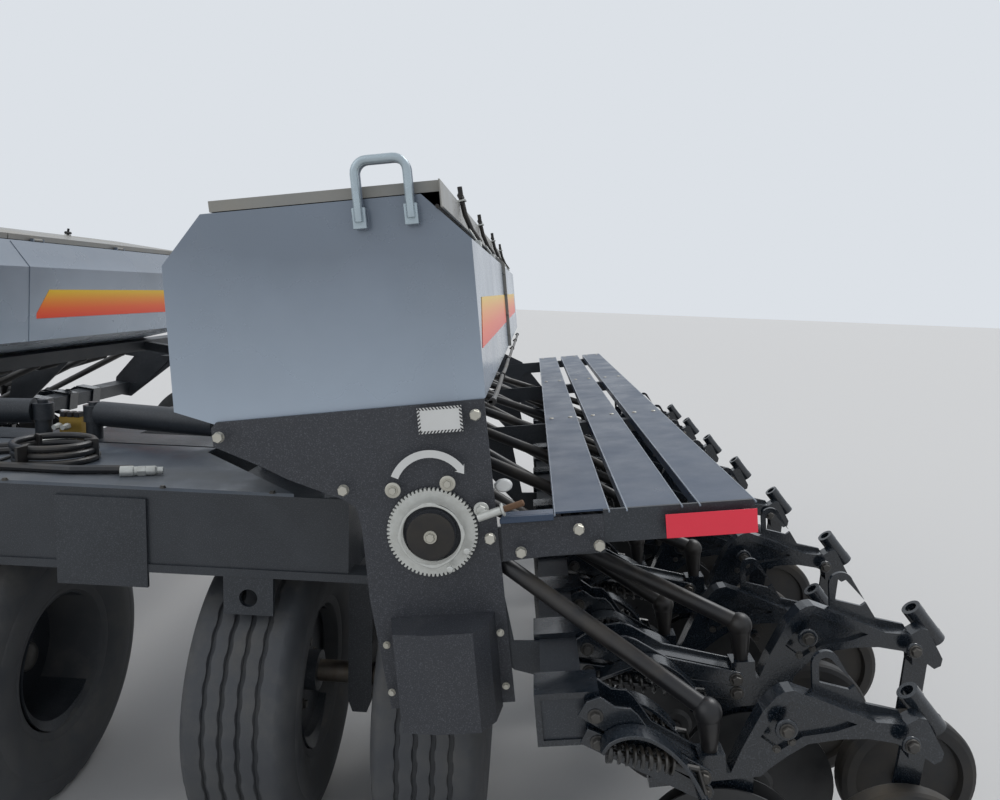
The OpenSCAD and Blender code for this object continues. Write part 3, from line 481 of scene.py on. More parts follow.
class Shape:
    """Collects mesh parts of one piece, drawn through a placing function."""

    def __init__(self, place: Place = straight) -> None:
        """Starts an empty mesh.

        Args:
            place: Turns the coordinates that the methods take into the machine's frame.
        """
        self.bm = bmesh.new()
        self.place = place

    def ring(self, points: Iterable[Point]) -> list:
        """Adds the points as vertices."""
        return [self.bm.verts.new(self.place(*p)) for p in points]

    def skin(self, rings: Sequence[list], closed: bool = True, caps: bool = True) -> None:
        """Joins rings of equal length with faces.

        Args:
            rings: The rings, in order.
            closed: True if each ring closes on itself.
            caps: True if the first and last ring are filled.
        """
        for a, b in zip(rings, rings[1:]):
            count = len(a)
            for i in range(count if closed else count - 1):
                j = (i + 1) % count
                self.bm.faces.new((a[i], a[j], b[j], b[i]))
        if caps:
            self.bm.faces.new(rings[0])
            self.bm.faces.new(list(reversed(rings[-1])))

    def prism(self, outline: Sequence[tuple[float, float]], y0: float, y1: float) -> None:
        """Extrudes an outline in the first and third coordinate along the second."""
        self.skin([self.ring([(a, y, b) for a, b in outline]) for y in (y0, y1)])

    def block(self, low: Point, high: Point) -> None:
        """Adds a straight block between two corners."""
        self.prism([(low[0], low[2]), (high[0], low[2]), (high[0], high[2]), (low[0], high[2])],
                   low[1], high[1])

    def tube(self, path: Sequence[Point], radius: float, sides: int = 10) -> None:
        """Sweeps a round section along a path given in the placed frame.

        Args:
            path: Points of the centre line.
            radius: Radius of the section.
            sides: Number of sides.
        """
        pts = [self.place(*p) for p in path]
        up = Vector((0.0, 0.0, 1.0))
        rings = []
        for i, p in enumerate(pts):
            run = (pts[min(i + 1, len(pts) - 1)] - pts[max(i - 1, 0)]).normalized()
            if abs(run.dot(up)) > 0.95:
                up = Vector((1.0, 0.0, 0.0))
            across = run.cross(up).normalized()
            up = across.cross(run).normalized()
            rings.append([self.bm.verts.new(p + radius * (c * across + d * up)) for c, d in spin(sides)])
        self.skin(rings)

    def lathe(self, centre: Point, axis: Point, profile: Sequence[tuple[float, float]],
              sides: int = 24) -> None:
        """Turns a profile round an axis, both given in the placed frame.

        Args:
            centre: A point on the axis.
            axis: A second point on the axis.
            profile: Radius and distance along the axis for each ring.
            sides: Number of sides.
        """
        base = self.place(*centre)
        run = (self.place(*axis) - base).normalized()
        across = run.cross(Vector((0.31, 0.27, 0.91))).normalized()
        other = run.cross(across)
        self.skin([[self.bm.verts.new(base + run * h + r * (c * across + d * other)) for c, d in spin(sides)]
                   for r, h in profile])

    def bolt(self, at: Point, out: Point, size: float = 0.010, washer: float = 0.0) -> None:
        """Adds a hexagon head on a flange, standing out from a face.

        Args:
            at: Middle of the head's foot.
            out: A point further out on its axis.
            size: Radius of the hexagon.
            washer: Radius of the washer, or 0 for a flange on the head.
        """
        rim = washer or size * 1.25
        self.lathe(at, out, [(rim, 0.0), (rim, 0.0022), (rim * 0.96, 0.0030)], 20)
        self.lathe(at, out, [(size, 0.0031), (size, size * 0.85), (size * 0.86, size * 1.0)], 6)

    def piece(self, name: str, finish: object, body: str, slot: str = "", bevel: float = 0.0,
              smooth: float = 40.0) -> bpy.types.Object:
        """Makes the object, dresses it and lets it ride.

        Args:
            name: Name of the piece.
            finish: The finish that it takes.
            body: CAD body that it rides on.
            slot: Material slot of the record that it stands for; not used.
            bevel: Width of the bevel on its edges, or 0.
            smooth: Largest angle between faces that is shaded smooth, in degrees.

        Returns:
            The new object.
        """
        bmesh.ops.recalc_face_normals(self.bm, faces=self.bm.faces)
        mesh = bpy.data.meshes.new(name)
        self.bm.to_mesh(mesh)
        self.bm.free()
        obj = bpy.data.objects.new(name, mesh)
        bpy.context.scene.collection.objects.link(obj)
        mesh.materials.append(finish.material())
        if bevel:
            mod = obj.modifiers.new("edge", "BEVEL")
            mod.width = bevel
            mod.segments = 2
            mod.limit_method = "ANGLE"
            mod.angle_limit = math.radians(35)
        mesh.polygons.foreach_set("use_smooth", [True] * len(mesh.polygons))
        mesh.set_sharp_from_angle(angle=math.radians(smooth))
        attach(obj, body)
        LOG.info("%s: %d faces on %s", name, len(mesh.polygons), body)
        return obj


def arc(centre: Point, radius: float, start: float, end: float, steps: int) -> list[tuple[float, float]]:
    """Points of an arc, angles in degrees."""
    return [polar(centre, radius, start + (end - start) * k / steps) for k in range(steps + 1)]


def smooth_path(points: Sequence[Point], steps: int = 6) -> list[Vector]:
    """Rounds a path of a few points into a smooth curve through them."""
    pts = [Vector(p) for p in points]
    pts = [2 * pts[0] - pts[1]] + pts + [2 * pts[-1] - pts[-2]]
    out = []
    for a, b, c, d in zip(pts, pts[1:], pts[2:], pts[3:]):
        for k in range(steps):
            t = k / steps
            bend, twist = 2 * a - 5 * b + 4 * c - d, 3 * b - a - 3 * c + d
            out.append(0.5 * ((2 * b) + (c - a) * t + bend * t * t + twist * t ** 3))
    out.append(pts[-2])
    return out


# Studio


@dataclass
class Studio:
    """Camera, floor and lights."""

    eye: tuple = (1.406, -1.555, 1.48)
    focal_pixels: float = 770.0
    vanish: tuple = (33.0, -108.0)
    roll: float = 2.2
    floor_size: float = 120.0
    floor_tints: tuple = (linear(212, 210, 206), linear(218, 216, 212))
    sky: tuple = linear(222, 228, 238)
    sky_strength: float = 0.78
    backdrop: tuple = linear(220, 225, 231)
    suns: tuple = (("key", (4.0, 5.0, 7.0), 24.0, 1.15), ("fill", (-5.0, -3.0, 4.0), 50.0, 0.35))

    def camera(self) -> None:
        """Sets the camera up from the vanishing point of the machine's length and its roll."""
        dy = Vector((self.vanish[0], self.vanish[1], self.focal_pixels)).normalized()
        turn = math.radians(self.roll)
        dx = Vector((math.cos(turn), math.sin(turn), 0.0))
        dx = (dx - dy * dx.dot(dy)).normalized()
        dz = dx.cross(dy)
        right, down, ahead = (Vector((dx[i], dy[i], dz[i])) for i in range(3))
        data = bpy.data.cameras.new("camera")
        data.sensor_width = 36.0
        data.lens = self.focal_pixels * 36.0 / 1000.0
        data.clip_start = 0.05
        cam = bpy.data.objects.new("camera", data)
        pose = Matrix((right, -down, -ahead)).transposed().to_4x4()
        pose.translation = LAY.on_deck(*self.eye)
        cam.matrix_world = pose
        bpy.context.scene.collection.objects.link(cam)
        bpy.context.scene.camera = cam

    def seen_behind(self, tree: bpy.types.NodeTree) -> bpy.types.NodeSocket:
        """Adds a mask that is 1 where a camera, glossy or transmission ray meets the backdrop.

        Args:
            tree: The node tree that takes it.

        Returns:
            The output socket of the mask.
        """
        maker = NodeMaker(tree)
        path = maker.node("LightPath")
        first, both = (maker.node("Math", operation="MAXIMUM") for _ in range(2))
        maker.join((path, "Is Camera Ray", first, 0), (path, "Is Glossy Ray", first, 1), (first, 0, both, 0),
                   (path, "Is Transmission Ray", both, 1))
        return both.outputs[0]

    def floor(self) -> None:
        """Lays the pale floor."""
        half = self.floor_size / 2
        mesh = bpy.data.meshes.new("floor")
        corners = [(-half, -half, 0), (half, -half, 0), (half, half, 0), (-half, half, 0)]
        mesh.from_pydata(corners, [], [(0, 1, 2, 3)])
        obj = bpy.data.objects.new("floor", mesh)
        mat = bpy.data.materials.new("pale floor")
        mat.use_nodes = True
        maker, shader = NodeMaker(mat.node_tree), mat.node_tree.nodes["Principled BSDF"]
        tex, ramp = maker.node("TexNoise", {"Scale": 0.8}), maker.node("ValToRGB")
        for stop, colour in zip(ramp.color_ramp.elements, self.floor_tints):
            stop.color = colour
        maker.join((tex, "Fac", ramp, "Fac"), (ramp, "Color", shader, "Base Color"))
        shader.inputs["Roughness"].default_value = 0.9
        shader.inputs["Specular IOR Level"].default_value = 0.1
        mesh.materials.append(mat)
        bpy.context.scene.collection.objects.link(obj)

    def lights(self) -> None:
        """Gives an even sky, pale behind the machine, a soft key from ahead and the right, and a fill."""
        world = bpy.data.worlds.new("sky")
        world.use_nodes = True
        tree = world.node_tree
        light = tree.nodes["Background"]
        light.inputs["Color"].default_value = self.sky
        light.inputs["Strength"].default_value = self.sky_strength
        maker = NodeMaker(tree)
        pale, mix = maker.node("Background", {"Color": self.backdrop}), maker.node("MixShader")
        tree.links.new(self.seen_behind(tree), mix.inputs[0])
        maker.join((light, 0, mix, 1), (pale, 0, mix, 2), (mix, 0, tree.nodes["World Output"], "Surface"))
        bpy.context.scene.world = world
        for name, at, angle, power in self.suns:
            data = bpy.data.lights.new(name, "SUN")
            data.angle = math.radians(angle)
            data.energy = power
            lamp = bpy.data.objects.new(name, data)
            lamp.rotation_euler = (-Vector(at)).to_track_quat("-Z", "Y").to_euler()
            bpy.context.scene.collection.objects.link(lamp)

    def build(self) -> None:
        """Sets the view up, then floor and lights."""
        bpy.context.scene.view_settings.view_transform = "Standard"
        self.camera()
        self.floor()
        self.lights()


# CAD nodes that keep their shape


@dataclass
class NodeDress:
    """Puts finishes on the CAD nodes that stay."""

    common: tuple = ((FRAME_PAINT, "rear_beam wheel_struts drawbar wing_rest centre_rim"),
                     (DECK_PAINT, "deck"), (BARE_STEEL, "axles hitch_clevis jack_stand"),
                     (OCHRE, "coupler_block"), (HOSE_RUBBER, "hydraulic_hoses"), (TYRE_RUBBER, "centre_tyre"))
    sided: tuple = ((FRAME_PAINT, "rims fold_arm fold_barrel frame wing_rim"),
                    (TYRE_RUBBER, "tyres wing_tyre"), (ZINC, "fold_rod drive_gear"),
                    (PLATE_PAINT, "end_plates drive_cover"), (BOX_PAINT, "seed_box"),
                    (LID_PAINT, "rear_lid front_lid"), (PLANK_PAINT, "walkboard"),
                    (BLACK_PLASTIC, "meters seed_tubes"), (CAST_PAINT, "opener_arms"), (DISC_STEEL, "discs"),
                    (SOFT_RUBBER, "near_press_wheels far_press_wheels"))
    by_slot: tuple = (("frame_black", FRAME_PAINT), ("box_grey", BOX_PAINT), ("zinc_metal", ZINC),
                      ("plain_steel", BARE_STEEL), ("deck_plate", DECK_PAINT), ("ochre_metal", OCHRE),
                      ("black_plastic", BLACK_PLASTIC), ("black_rubber", SOFT_RUBBER),
                      ("tyre_rubber", TYRE_RUBBER))

    def build(self) -> None:
        """Dresses every CAD node: those with a finish of their own, and the others by their slot."""
        slots = {s["node"]: s["material_slot"] for s in frame["record"]["subparts"]}
        spare = dict(self.by_slot)
        wanted = {name: finish for finish, names in self.common for name in names.split()}
        for side in Side:
            wanted.update({f"{side.word}_{name}": finish for finish, names in self.sided
                           for name in names.split()})
        for name, obj in frame["nodes"].items():
            finish = wanted.get(name) or spare[slots[name]]
            mat = finish.material()
            if not obj.material_slots:
                obj.data.materials.append(mat)
            for held in obj.material_slots:
                held.material = mat
            LOG.info("node %s takes %s", name, finish.name)


# Seed boxes


@dataclass
class WingTrim:
    """Base of the trims that ride on one wing and are drawn in its coordinates."""

    side: Side

    def shape(self) -> Shape:
        """An empty mesh in the wing's coordinates."""
        return Shape(LAY.on_wing(self.side))

    def done(self, shape: Shape, name: str, finish: Surface, slot: str, bevel: float = 0.0,
             part: str = "wing") -> None:
        """Makes a piece out of a mesh.

        Args:
            shape: The mesh.
            name: Name of the piece, without its side.
            finish: The finish that it takes.
            slot: Material slot of the record that it stands for.
            bevel: Width of the bevel on its edges, or 0.
            part: CAD body that it rides on, without its side.
        """
        shape.piece(f"{self.side.word}_{name}", finish, f"{self.side.word}_{part}", slot, bevel)


@dataclass
class SeedBoxTrim(WingTrim):
    """Stripes, grab handle, lid lips and seals, joint flange, latches and harness of one seed box."""

    stripe_low: float = 0.080
    stripe_high: float = 0.186
    split: float = 1.536
    thin: float = 0.0012
    latch_places: tuple = (0.42, 1.12, 1.95, 2.75)
    harness_u: float = 0.672
    harness_v: float = -0.034
    tie_pitch: float = 0.52
    box_l: float = 3.2
    handle_u: tuple = (0.443, 0.547)
    lid_edge: tuple = (0.6055, 0.6085)
    lip: tuple = (0.368, 0.4235)
    seal: tuple = (0.5985, 0.3715)
    bar_half: float = 0.024
    loop_half: float = 0.018
    outer: tuple = ((0.6600, -0.018), (0.6600, 0.304), (0.5660, 0.400))
    inner_lean: float = 0.018
    inner_stripe: tuple = (0.092, 0.212)

    def wall_u(self, v: float, outer: bool) -> float:
        """Place of the outer or inner wall at a height."""
        (wall, _), (_, knee), _ = self.outer
        return wall if outer else self.inner_lean * v / knee

    def stripe(self, name: str, outer: bool, start: float, end: float, slant: float) -> None:
        """Lays one stripe flat on a wall.

        Args:
            name: Name of the piece, without its side.
            outer: True for the outer wall.
            start: Rear end of its top edge along the wing.
            end: Its front end.
            slant: How far the rear end of its foot is behind that of its top.
        """
        shape = self.shape()
        out = self.thin if outer else -self.thin
        low, high = (self.stripe_low, self.stripe_high) if outer else self.inner_stripe
        count = 12
        rings = []
        for k in range(count + 1):
            t = k / count
            foot = start - slant * (1 - t) + (end - start) * t
            top = start + (end - start) * t
            rings.append(shape.ring([(self.wall_u(v, outer) + out * lift, y, v)
                                     for y, v, lift in ((foot, low, 0.2), (top, high, 0.2), (top, high, 1.0),
                                                        (foot, low, 1.0))]))
        shape.skin(rings)
        self.done(shape, name, OUTER_STRIPE if outer else INNER_STRIPE, "box_grey")

    def handle(self) -> None:
        """Zinc coat of the bent grab handle on the box's rear end."""
        shape = self.shape()
        a, b = self.handle_u
        y, low, high, r, corner = -0.013, 0.3518, 0.470, 0.0084, 0.026
        path = [(a, y, low), (a, y, high - corner)]
        path += [(u, y, v) for u, v in arc((a + corner, high - corner), corner, 180, 90, 6)[1:]]
        path += [(u, y, v) for u, v in arc((b - corner, high - corner), corner, 90, 0, 6)]
        path += [(b, y, low)]
        shape.tube(path, r, 18)
        for u in self.handle_u:
            shape.block((u - 0.0134, -0.0104, low - 0.0122), (u + 0.0134, -0.0001, low + 0.0284))
        self.done(shape, "handle_coat", HANDLE_ZINC, "zinc_metal", 0.0010)

    def lips(self) -> None:
        """Turned-down lips along the lids' outer edges, each riding with its lid, and their seals."""
        low, high = self.lip
        u0, u1 = self.lid_edge
        seal = self.shape()
        for name, y0, y1 in (("rear", 0.0, self.split - 0.003), ("front", self.split + 0.003, self.box_l)):
            lip = self.shape()
            lip.prism([(u0, low), (u1 + 0.004, low - 0.001), (u1 + 0.004, low + 0.001), (u1, low + 0.003),
                       (u1, high), (u0, high)], y0, y1)
            self.done(lip, f"{name}_lid_lip", LID_PAINT, "box_grey", 0.0008, f"lid_{name}")
            seal.tube([(self.seal[0], y, self.seal[1]) for y in (y0 + 0.004, y1 - 0.004)], 0.0042, 8)
        self.done(seal, "lid_seals", SOFT_RUBBER, "black_rubber")

    def joint_flange(self) -> None:
        """Bolted flange that stands out from the outer wall at the box's joint."""
        shape = self.shape()
        proud = 0.012
        inner = list(self.outer)
        (u0, v0), (u1, v1), (u2, v2) = self.outer
        outer = [(u0 + proud, v0), (u1 + proud, v1 + proud * 0.41), (u2 + proud * 0.41, v2 + 0.0004)]
        for y in (self.split - 0.007, self.split + 0.001):
            shape.prism(inner + outer[::-1], y, y + 0.006)
        for v in (0.03, 0.11, 0.19, 0.27):
            shape.bolt((0.666, self.split - 0.007, v), (0.666, -9, v), 0.005)
        self.done(shape, "joint_flange", LID_PAINT, "box_grey", 0.0006)

    def latches(self) -> None:
        """Rubber T-latches over the lids' outer edges, each with its wire loop and keeper."""
        rubber, wire = self.shape(), self.shape()
        bar, loop = self.bar_half, self.loop_half
        for y in self.latch_places:
            rubber.tube([(0.652, y, 0.322), (0.634, y, 0.352), (0.620, y, 0.392), (0.614, y, 0.432)],
                        0.0065, 8)
            rubber.tube([(0.613, y - bar, 0.438), (0.613, y + bar, 0.438)], 0.0075, 8)
            rubber.tube([(0.614, y, 0.430), (0.612, y, 0.462)], 0.0062, 8)
            wire.tube([(0.645, y - loop, 0.325), (0.630, y - loop, 0.352), (0.626, y, 0.358),
                       (0.630, y + loop, 0.352), (0.645, y + loop, 0.325)], 0.0022, 8)
            wire.block((0.640, y - bar, 0.312), (0.654, y + bar, 0.326))
            wire.tube([(0.606, y - loop, 0.426), (0.624, y - 0.014, 0.428), (0.624, y + 0.014, 0.428),
                       (0.606, y + loop, 0.426)], 0.0024, 8)
        self.done(rubber, "latch_rubbers", SOFT_RUBBER, "black_rubber")
        self.done(wire, "latch_wires", ZINC, "zinc_metal")

    def harness(self) -> None:
        """Sensor cable tied along the box's outer lower edge, with the ties that hold it."""
        cable, ties = self.shape(), self.shape()
        ends = [k * self.tie_pitch + 0.05 for k in range(int(self.box_l / self.tie_pitch))]
        points = []
        for a, b in zip(ends, ends[1:]):
            for t in (0.0, 0.25, 0.5, 0.75):
                points.append((self.harness_u, a + (b - a) * t, self.harness_v - 0.016 * t * (1 - t)))
        points.append((self.harness_u, ends[-1], self.harness_v))
        cable.tube(smooth_path(points, 3), 0.0055, 8)
        for y in ends:
            ties.prism(arc((self.harness_u, self.harness_v), 0.0085, 0, 360, 12)[:-1], y - 0.003, y + 0.003)
            ties.block((0.6604, y - 0.003, self.harness_v - 0.003), (self.harness_u, y + 0.003,
                                                                     self.harness_v + 0.003))
        self.done(cable, "sensor_harness", GREY_CABLE, "black_plastic")
        self.done(ties, "harness_ties", BLACK_PLASTIC, "black_plastic")

    def build(self) -> None:
        """Builds the trim."""
        self.stripe("outer_stripe_rear", True, 0.16, self.split - 0.03, 0.10)
        self.stripe("outer_stripe_front", True, self.split + 0.03, 3.02, 0.0)
        self.stripe("inner_stripe_front", False, self.split + 0.13, 3.02, 0.10)
        for part in (self.handle, self.lips, self.joint_flange, self.latches, self.harness):
            part()


# End plate and drive


@dataclass
class EndPlateTrim(WingTrim):
    """Labels, bolts, gear details, drive link and bracket of a wing's rear end."""

    face: float = -0.008
    label_t: float = 0.0008
    gear: tuple = (0.525, -0.294)
    gear_face: float = -0.022
    head: float = 0.0118
    bolts: tuple = ((0.102, -0.056), (0.350, -0.187), (0.638, -0.050), (0.646, -0.312))
    washers: tuple = ((0.453, -0.195), (0.568, -0.189))
    arch: tuple = (0.531, -0.204, 0.072, 0.088)
    label_low: tuple = (0.519, -0.082)
    label_high: tuple = (0.611, -0.028)

    def heads(self, shape: Shape, places: Iterable[tuple], size: float, washer: float = 0.0) -> None:
        """Bolt heads on the plate's rear face.

        Args:
            shape: The mesh that takes them.
            places: Place of each in u and v.
            size: Radius of the hexagon.
            washer: Radius of the washer, or 0 for a flange on the head.
        """
        for u, v in places:
            shape.bolt((u, self.face, v), (u, -1, v), size, washer)

    def labels(self) -> None:
        """Blank labels: one with a border of slanted bars, one arched over the gear with a pointed end."""
        plain, edge = self.shape(), self.shape()
        (u0, v0), (u1, v1) = self.label_low, self.label_high
        plain.block((u0, self.face - self.label_t, v0), (u1, self.face, v1))
        depth, lean, thick = 0.0055, 0.004, 0.0012
        for across, low, high, count in ((False, u0, u1, 13), (True, v0, v1, 7)):
            step = (high - low) / count
            for k in range(count):
                a = low + (k + 0.15) * step
                b = a + 0.5 * step
                for rim, inward in ((v0, 1), (v1, -1)) if not across else ((u0, 1), (u1, -1)):
                    bar = [(a, rim), (b, rim), (b + lean, rim + inward * depth),
                           (a + lean, rim + inward * depth)]
                    bar = [(min(m, high), n) for m, n in bar]
                    edge.prism([(n, m) for m, n in bar] if across else bar, self.face - thick,
                               self.face - self.label_t)
        cu, cv, r0, r1 = self.arch
        outer, inner = arc((cu, cv), r1, 154, 34, 18), arc((cu, cv), r0, 34, 154, 18)
        tip = polar((cu, cv), (r0 + r1) / 2, 24)
        wide, narrow = polar((cu, cv), r1 + 0.005, 36), polar((cu, cv), r0 - 0.005, 36)
        plain.prism(outer + [wide, tip, narrow] + inner, self.face - self.label_t, self.face)
        self.done(plain, "blank_labels", BLANK_LABEL, "zinc_metal")
        self.done(edge, "label_border", LABEL_EDGE, "frame_black")

    def hub(self) -> None:
        """Rubber-faced hub disc with its bolt, the gear's cast lobes, and the washers beside it."""
        gu, gv = self.gear
        face = self.shape()
        face.lathe((gu, -0.026, gv), (gu, -0.1, gv), [(0.049, 0.0), (0.050, 0.002), (0.050, 0.004),
                                                      (0.046, 0.005), (0.040, 0.0045), (0.030, 0.0055),
                                                      (0.012, 0.0050)], 48)
        self.done(face, "gear_hub_face", SOFT_RUBBER, "frame_black")
        lobes = self.shape()
        count = 96
        rings = []
        for k in range(count):
            t = 2 * math.pi * k / count
            swell = 0.0035 * max(0.0, math.cos(4 * t)) ** 2
            ends = ((0.0625, 0.0), (0.0625, 0.0012), (0.0665 + swell, 0.0012), (0.0675 + swell, 0.0))
            rings.append(lobes.ring([(gu + r * math.cos(t), self.gear_face - h, gv + r * math.sin(t))
                                     for r, h in ends]))
        lobes.skin(rings + [rings[0]], closed=True, caps=False)
        for angle in (-28, -66):
            u, v = polar(self.gear, 0.081, angle)
            lobes.lathe((u, self.gear_face, v), (u, -1, v), [(0.0075, 0.0), (0.0075, 0.004),
                                                             (0.0055, 0.0055)], 16)
        self.done(lobes, "gear_lobes", ZINC, "zinc_metal", 0.0004)
        bolts = self.shape()
        bolts.bolt((gu, -0.031, gv), (gu, -0.1, gv), 0.010, 0.014)
        for u, v in self.washers:
            bolts.lathe((u, self.face, v), (u, -1, v), [(0.0165, 0.0), (0.0165, 0.0025), (0.0150, 0.0035),
                                                        (0.0085, 0.0030)], 28)
            bolts.bolt((u, self.face - 0.003, v), (u, -1, v), 0.0085, 0.0105)
        self.heads(bolts, self.bolts, self.head, self.head)
        self.done(bolts, "plate_bolts", BOLT_ZINC, "zinc_metal")

    def drive_link(self) -> None:
        """Adjusting link between the gear and the leg's edge: sleeve, worn threaded rod and end cap."""
        sleeve, rod, cap = (self.shape() for _ in range(3))
        y = -0.026
        a, b = Vector((0.626, y, -0.262)), Vector((0.722, y, -0.236))
        run = (b - a).normalized()
        sleeve.lathe(a, b, [(0.0085, 0.0), (0.0085, 0.050), (0.0065, 0.052)], 20)
        sleeve.lathe(a + run * 0.052, b, [(0.0130, 0.0), (0.0140, 0.001), (0.0140, 0.004), (0.0125, 0.005)],
                     20)
        self.heads(sleeve, ((0.633, -0.249),), 0.011, 0.016)
        sleeve.lathe((0.640, self.face, -0.258), (0.640, -1, -0.258), [(0.010, 0.0), (0.010, 0.012),
                                                                       (0.007, 0.013)], 16)
        threads = [(0.0065 + (0.0006 if k % 2 else -0.0002), 0.056 + 0.0012 * k) for k in range(36)]
        rod.lathe(a, b, [(0.005, 0.0), (0.005, 0.055)] + threads + [(0.0045, 0.1005)], 16)
        rings = []
        for d, grow in ((0.0, 0.80), (0.004, 1.0), (0.012, 1.0), (0.016, 0.82)):
            rings.append(cap.ring([(0.6605 + 0.020 + 0.019 * grow * c, 0.030 + d, -0.213 + 0.014 * grow * e)
                                   for c, e in spin(20)]))
        cap.skin(rings)
        cap.block((0.6603, 0.034, -0.219), (0.668, 0.042, -0.207))
        self.done(sleeve, "link_sleeve", ZINC, "zinc_metal")
        self.done(rod, "link_rod", RUSTY_STEEL, "plain_steel")
        self.done(cap, "link_cap", BLANK_LABEL, "black_plastic", 0.001)

    def bracket(self) -> None:
        """Red reflector, the bracket plate's folded top, and the bolts of bracket and cover."""
        red, fold, bolts = (self.shape() for _ in range(3))
        red.prism([(1.010, -0.338), (1.196, -0.338), (1.196, -0.287), (1.010, -0.287)],
                  self.face - 0.0015, self.face)
        self.done(red, "reflector", RED_REFLECTOR, "frame_black", 0.0005)
        fold.prism([(0.6685, -0.2838), (0.7810, -0.2838), (0.7810, -0.2700), (0.6730, -0.2700),
                    (0.6685, -0.2745)], self.face, 0.0)
        fold.block((0.6730, 0.0, -0.2760), (0.7810, 0.034, -0.2700))
        self.done(fold, "bracket_fold", PLANK_PAINT, "frame_black", 0.0015)
        self.heads(bolts, ((0.708, -0.346), (0.831, -0.305), (0.871, -0.343)), self.head, self.head)
        self.heads(bolts, ((0.405, -0.532), (0.405, -0.640), (0.650, -0.520), (0.652, -0.640)), 0.0065)
        self.done(bolts, "bracket_bolts", BOLT_ZINC, "zinc_metal")

    def build(self) -> None:
        """Builds the trim."""
        for part in (self.labels, self.hub, self.drive_link, self.bracket):
            part()


# Wheels


@dataclass
class RibbedTyre:
    """A ribbed implement tyre that stands in for a CAD tyre, turned about its own axle."""

    name: str
    centre: tuple
    axis: tuple
    radius: float
    width: float
    bead: float
    body: str
    steps: int = 160
    ribs: int = 5
    groove: float = 0.012
    groove_half: float = 0.0065
    notch: float = 0.0016
    shoulder: float = 0.95
    flank: tuple = ((0.0, 0.36), (0.02, 0.40), (0.10, 0.425), (0.13, 0.424), (0.16, 0.438), (0.30, 0.474),
                    (0.47, 0.496), (0.62, 0.497), (0.645, 0.490), (0.66, 0.492), (0.80, 0.468), (0.90, 0.440),
                    (0.955, 0.412))

    def profile(self) -> list[tuple[float, float, bool]]:
        """Radius, offset along the axle and whether the edge is notched, from bead to bead."""
        r, w, b = self.radius, self.width, self.bead
        half = [(b + part * (r - b), -wide * w, part > self.shoulder) for part, wide in self.flank]
        half.append((r - 0.004, -0.385 * w, True))
        tread_half = 0.375 * w
        rib = 2 * tread_half / self.ribs
        middle = []
        for k in range(self.ribs):
            low = -tread_half + k * rib
            start = low if k == 0 else low + self.groove_half
            end = low + rib if k == self.ribs - 1 else low + rib - self.groove_half
            crown = r - 0.0035 * abs((low + rib / 2) / tread_half) ** 2
            middle += [(crown - 0.0008, start, k > 0), (crown, start + 0.004, False),
                       (crown, end - 0.004, False), (crown - 0.0008, end, k < self.ribs - 1)]
            if k < self.ribs - 1:
                middle += [(r - self.groove, end + 0.0015, False),
                           (r - self.groove, low + rib + self.groove_half - 0.0015, False)]
        return half + middle + [(a, -h, n) for a, h, n in reversed(half)]

    def build(self, nodes: Sequence[str]) -> bpy.types.Object:
        """Builds the tyre.

        Args:
            nodes: CAD nodes that it stands for.

        Returns:
            The tyre.
        """
        shape = Shape()
        run = Vector(self.axis).normalized()
        up = Vector((0, 0, 1))
        side = run.cross(up)
        base = Vector(self.centre)
        prof = self.profile()
        rings = []
        for k in range(self.steps):
            t = 2 * math.pi * k / self.steps
            out = math.cos(t) * up + math.sin(t) * side
            zig = self.notch if k % 4 < 2 else -self.notch
            rings.append([shape.bm.verts.new(base + out * r + run * (h + (zig if notched else 0.0)))
                          for r, h, notched in prof])
        rings.append(rings[0])
        shape.skin(rings, closed=True, caps=False)
        obj = shape.piece(self.name, TYRE_RUBBER, self.body, "tyre_rubber", smooth=32)
        if nodes:
            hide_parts(*nodes)
        return obj


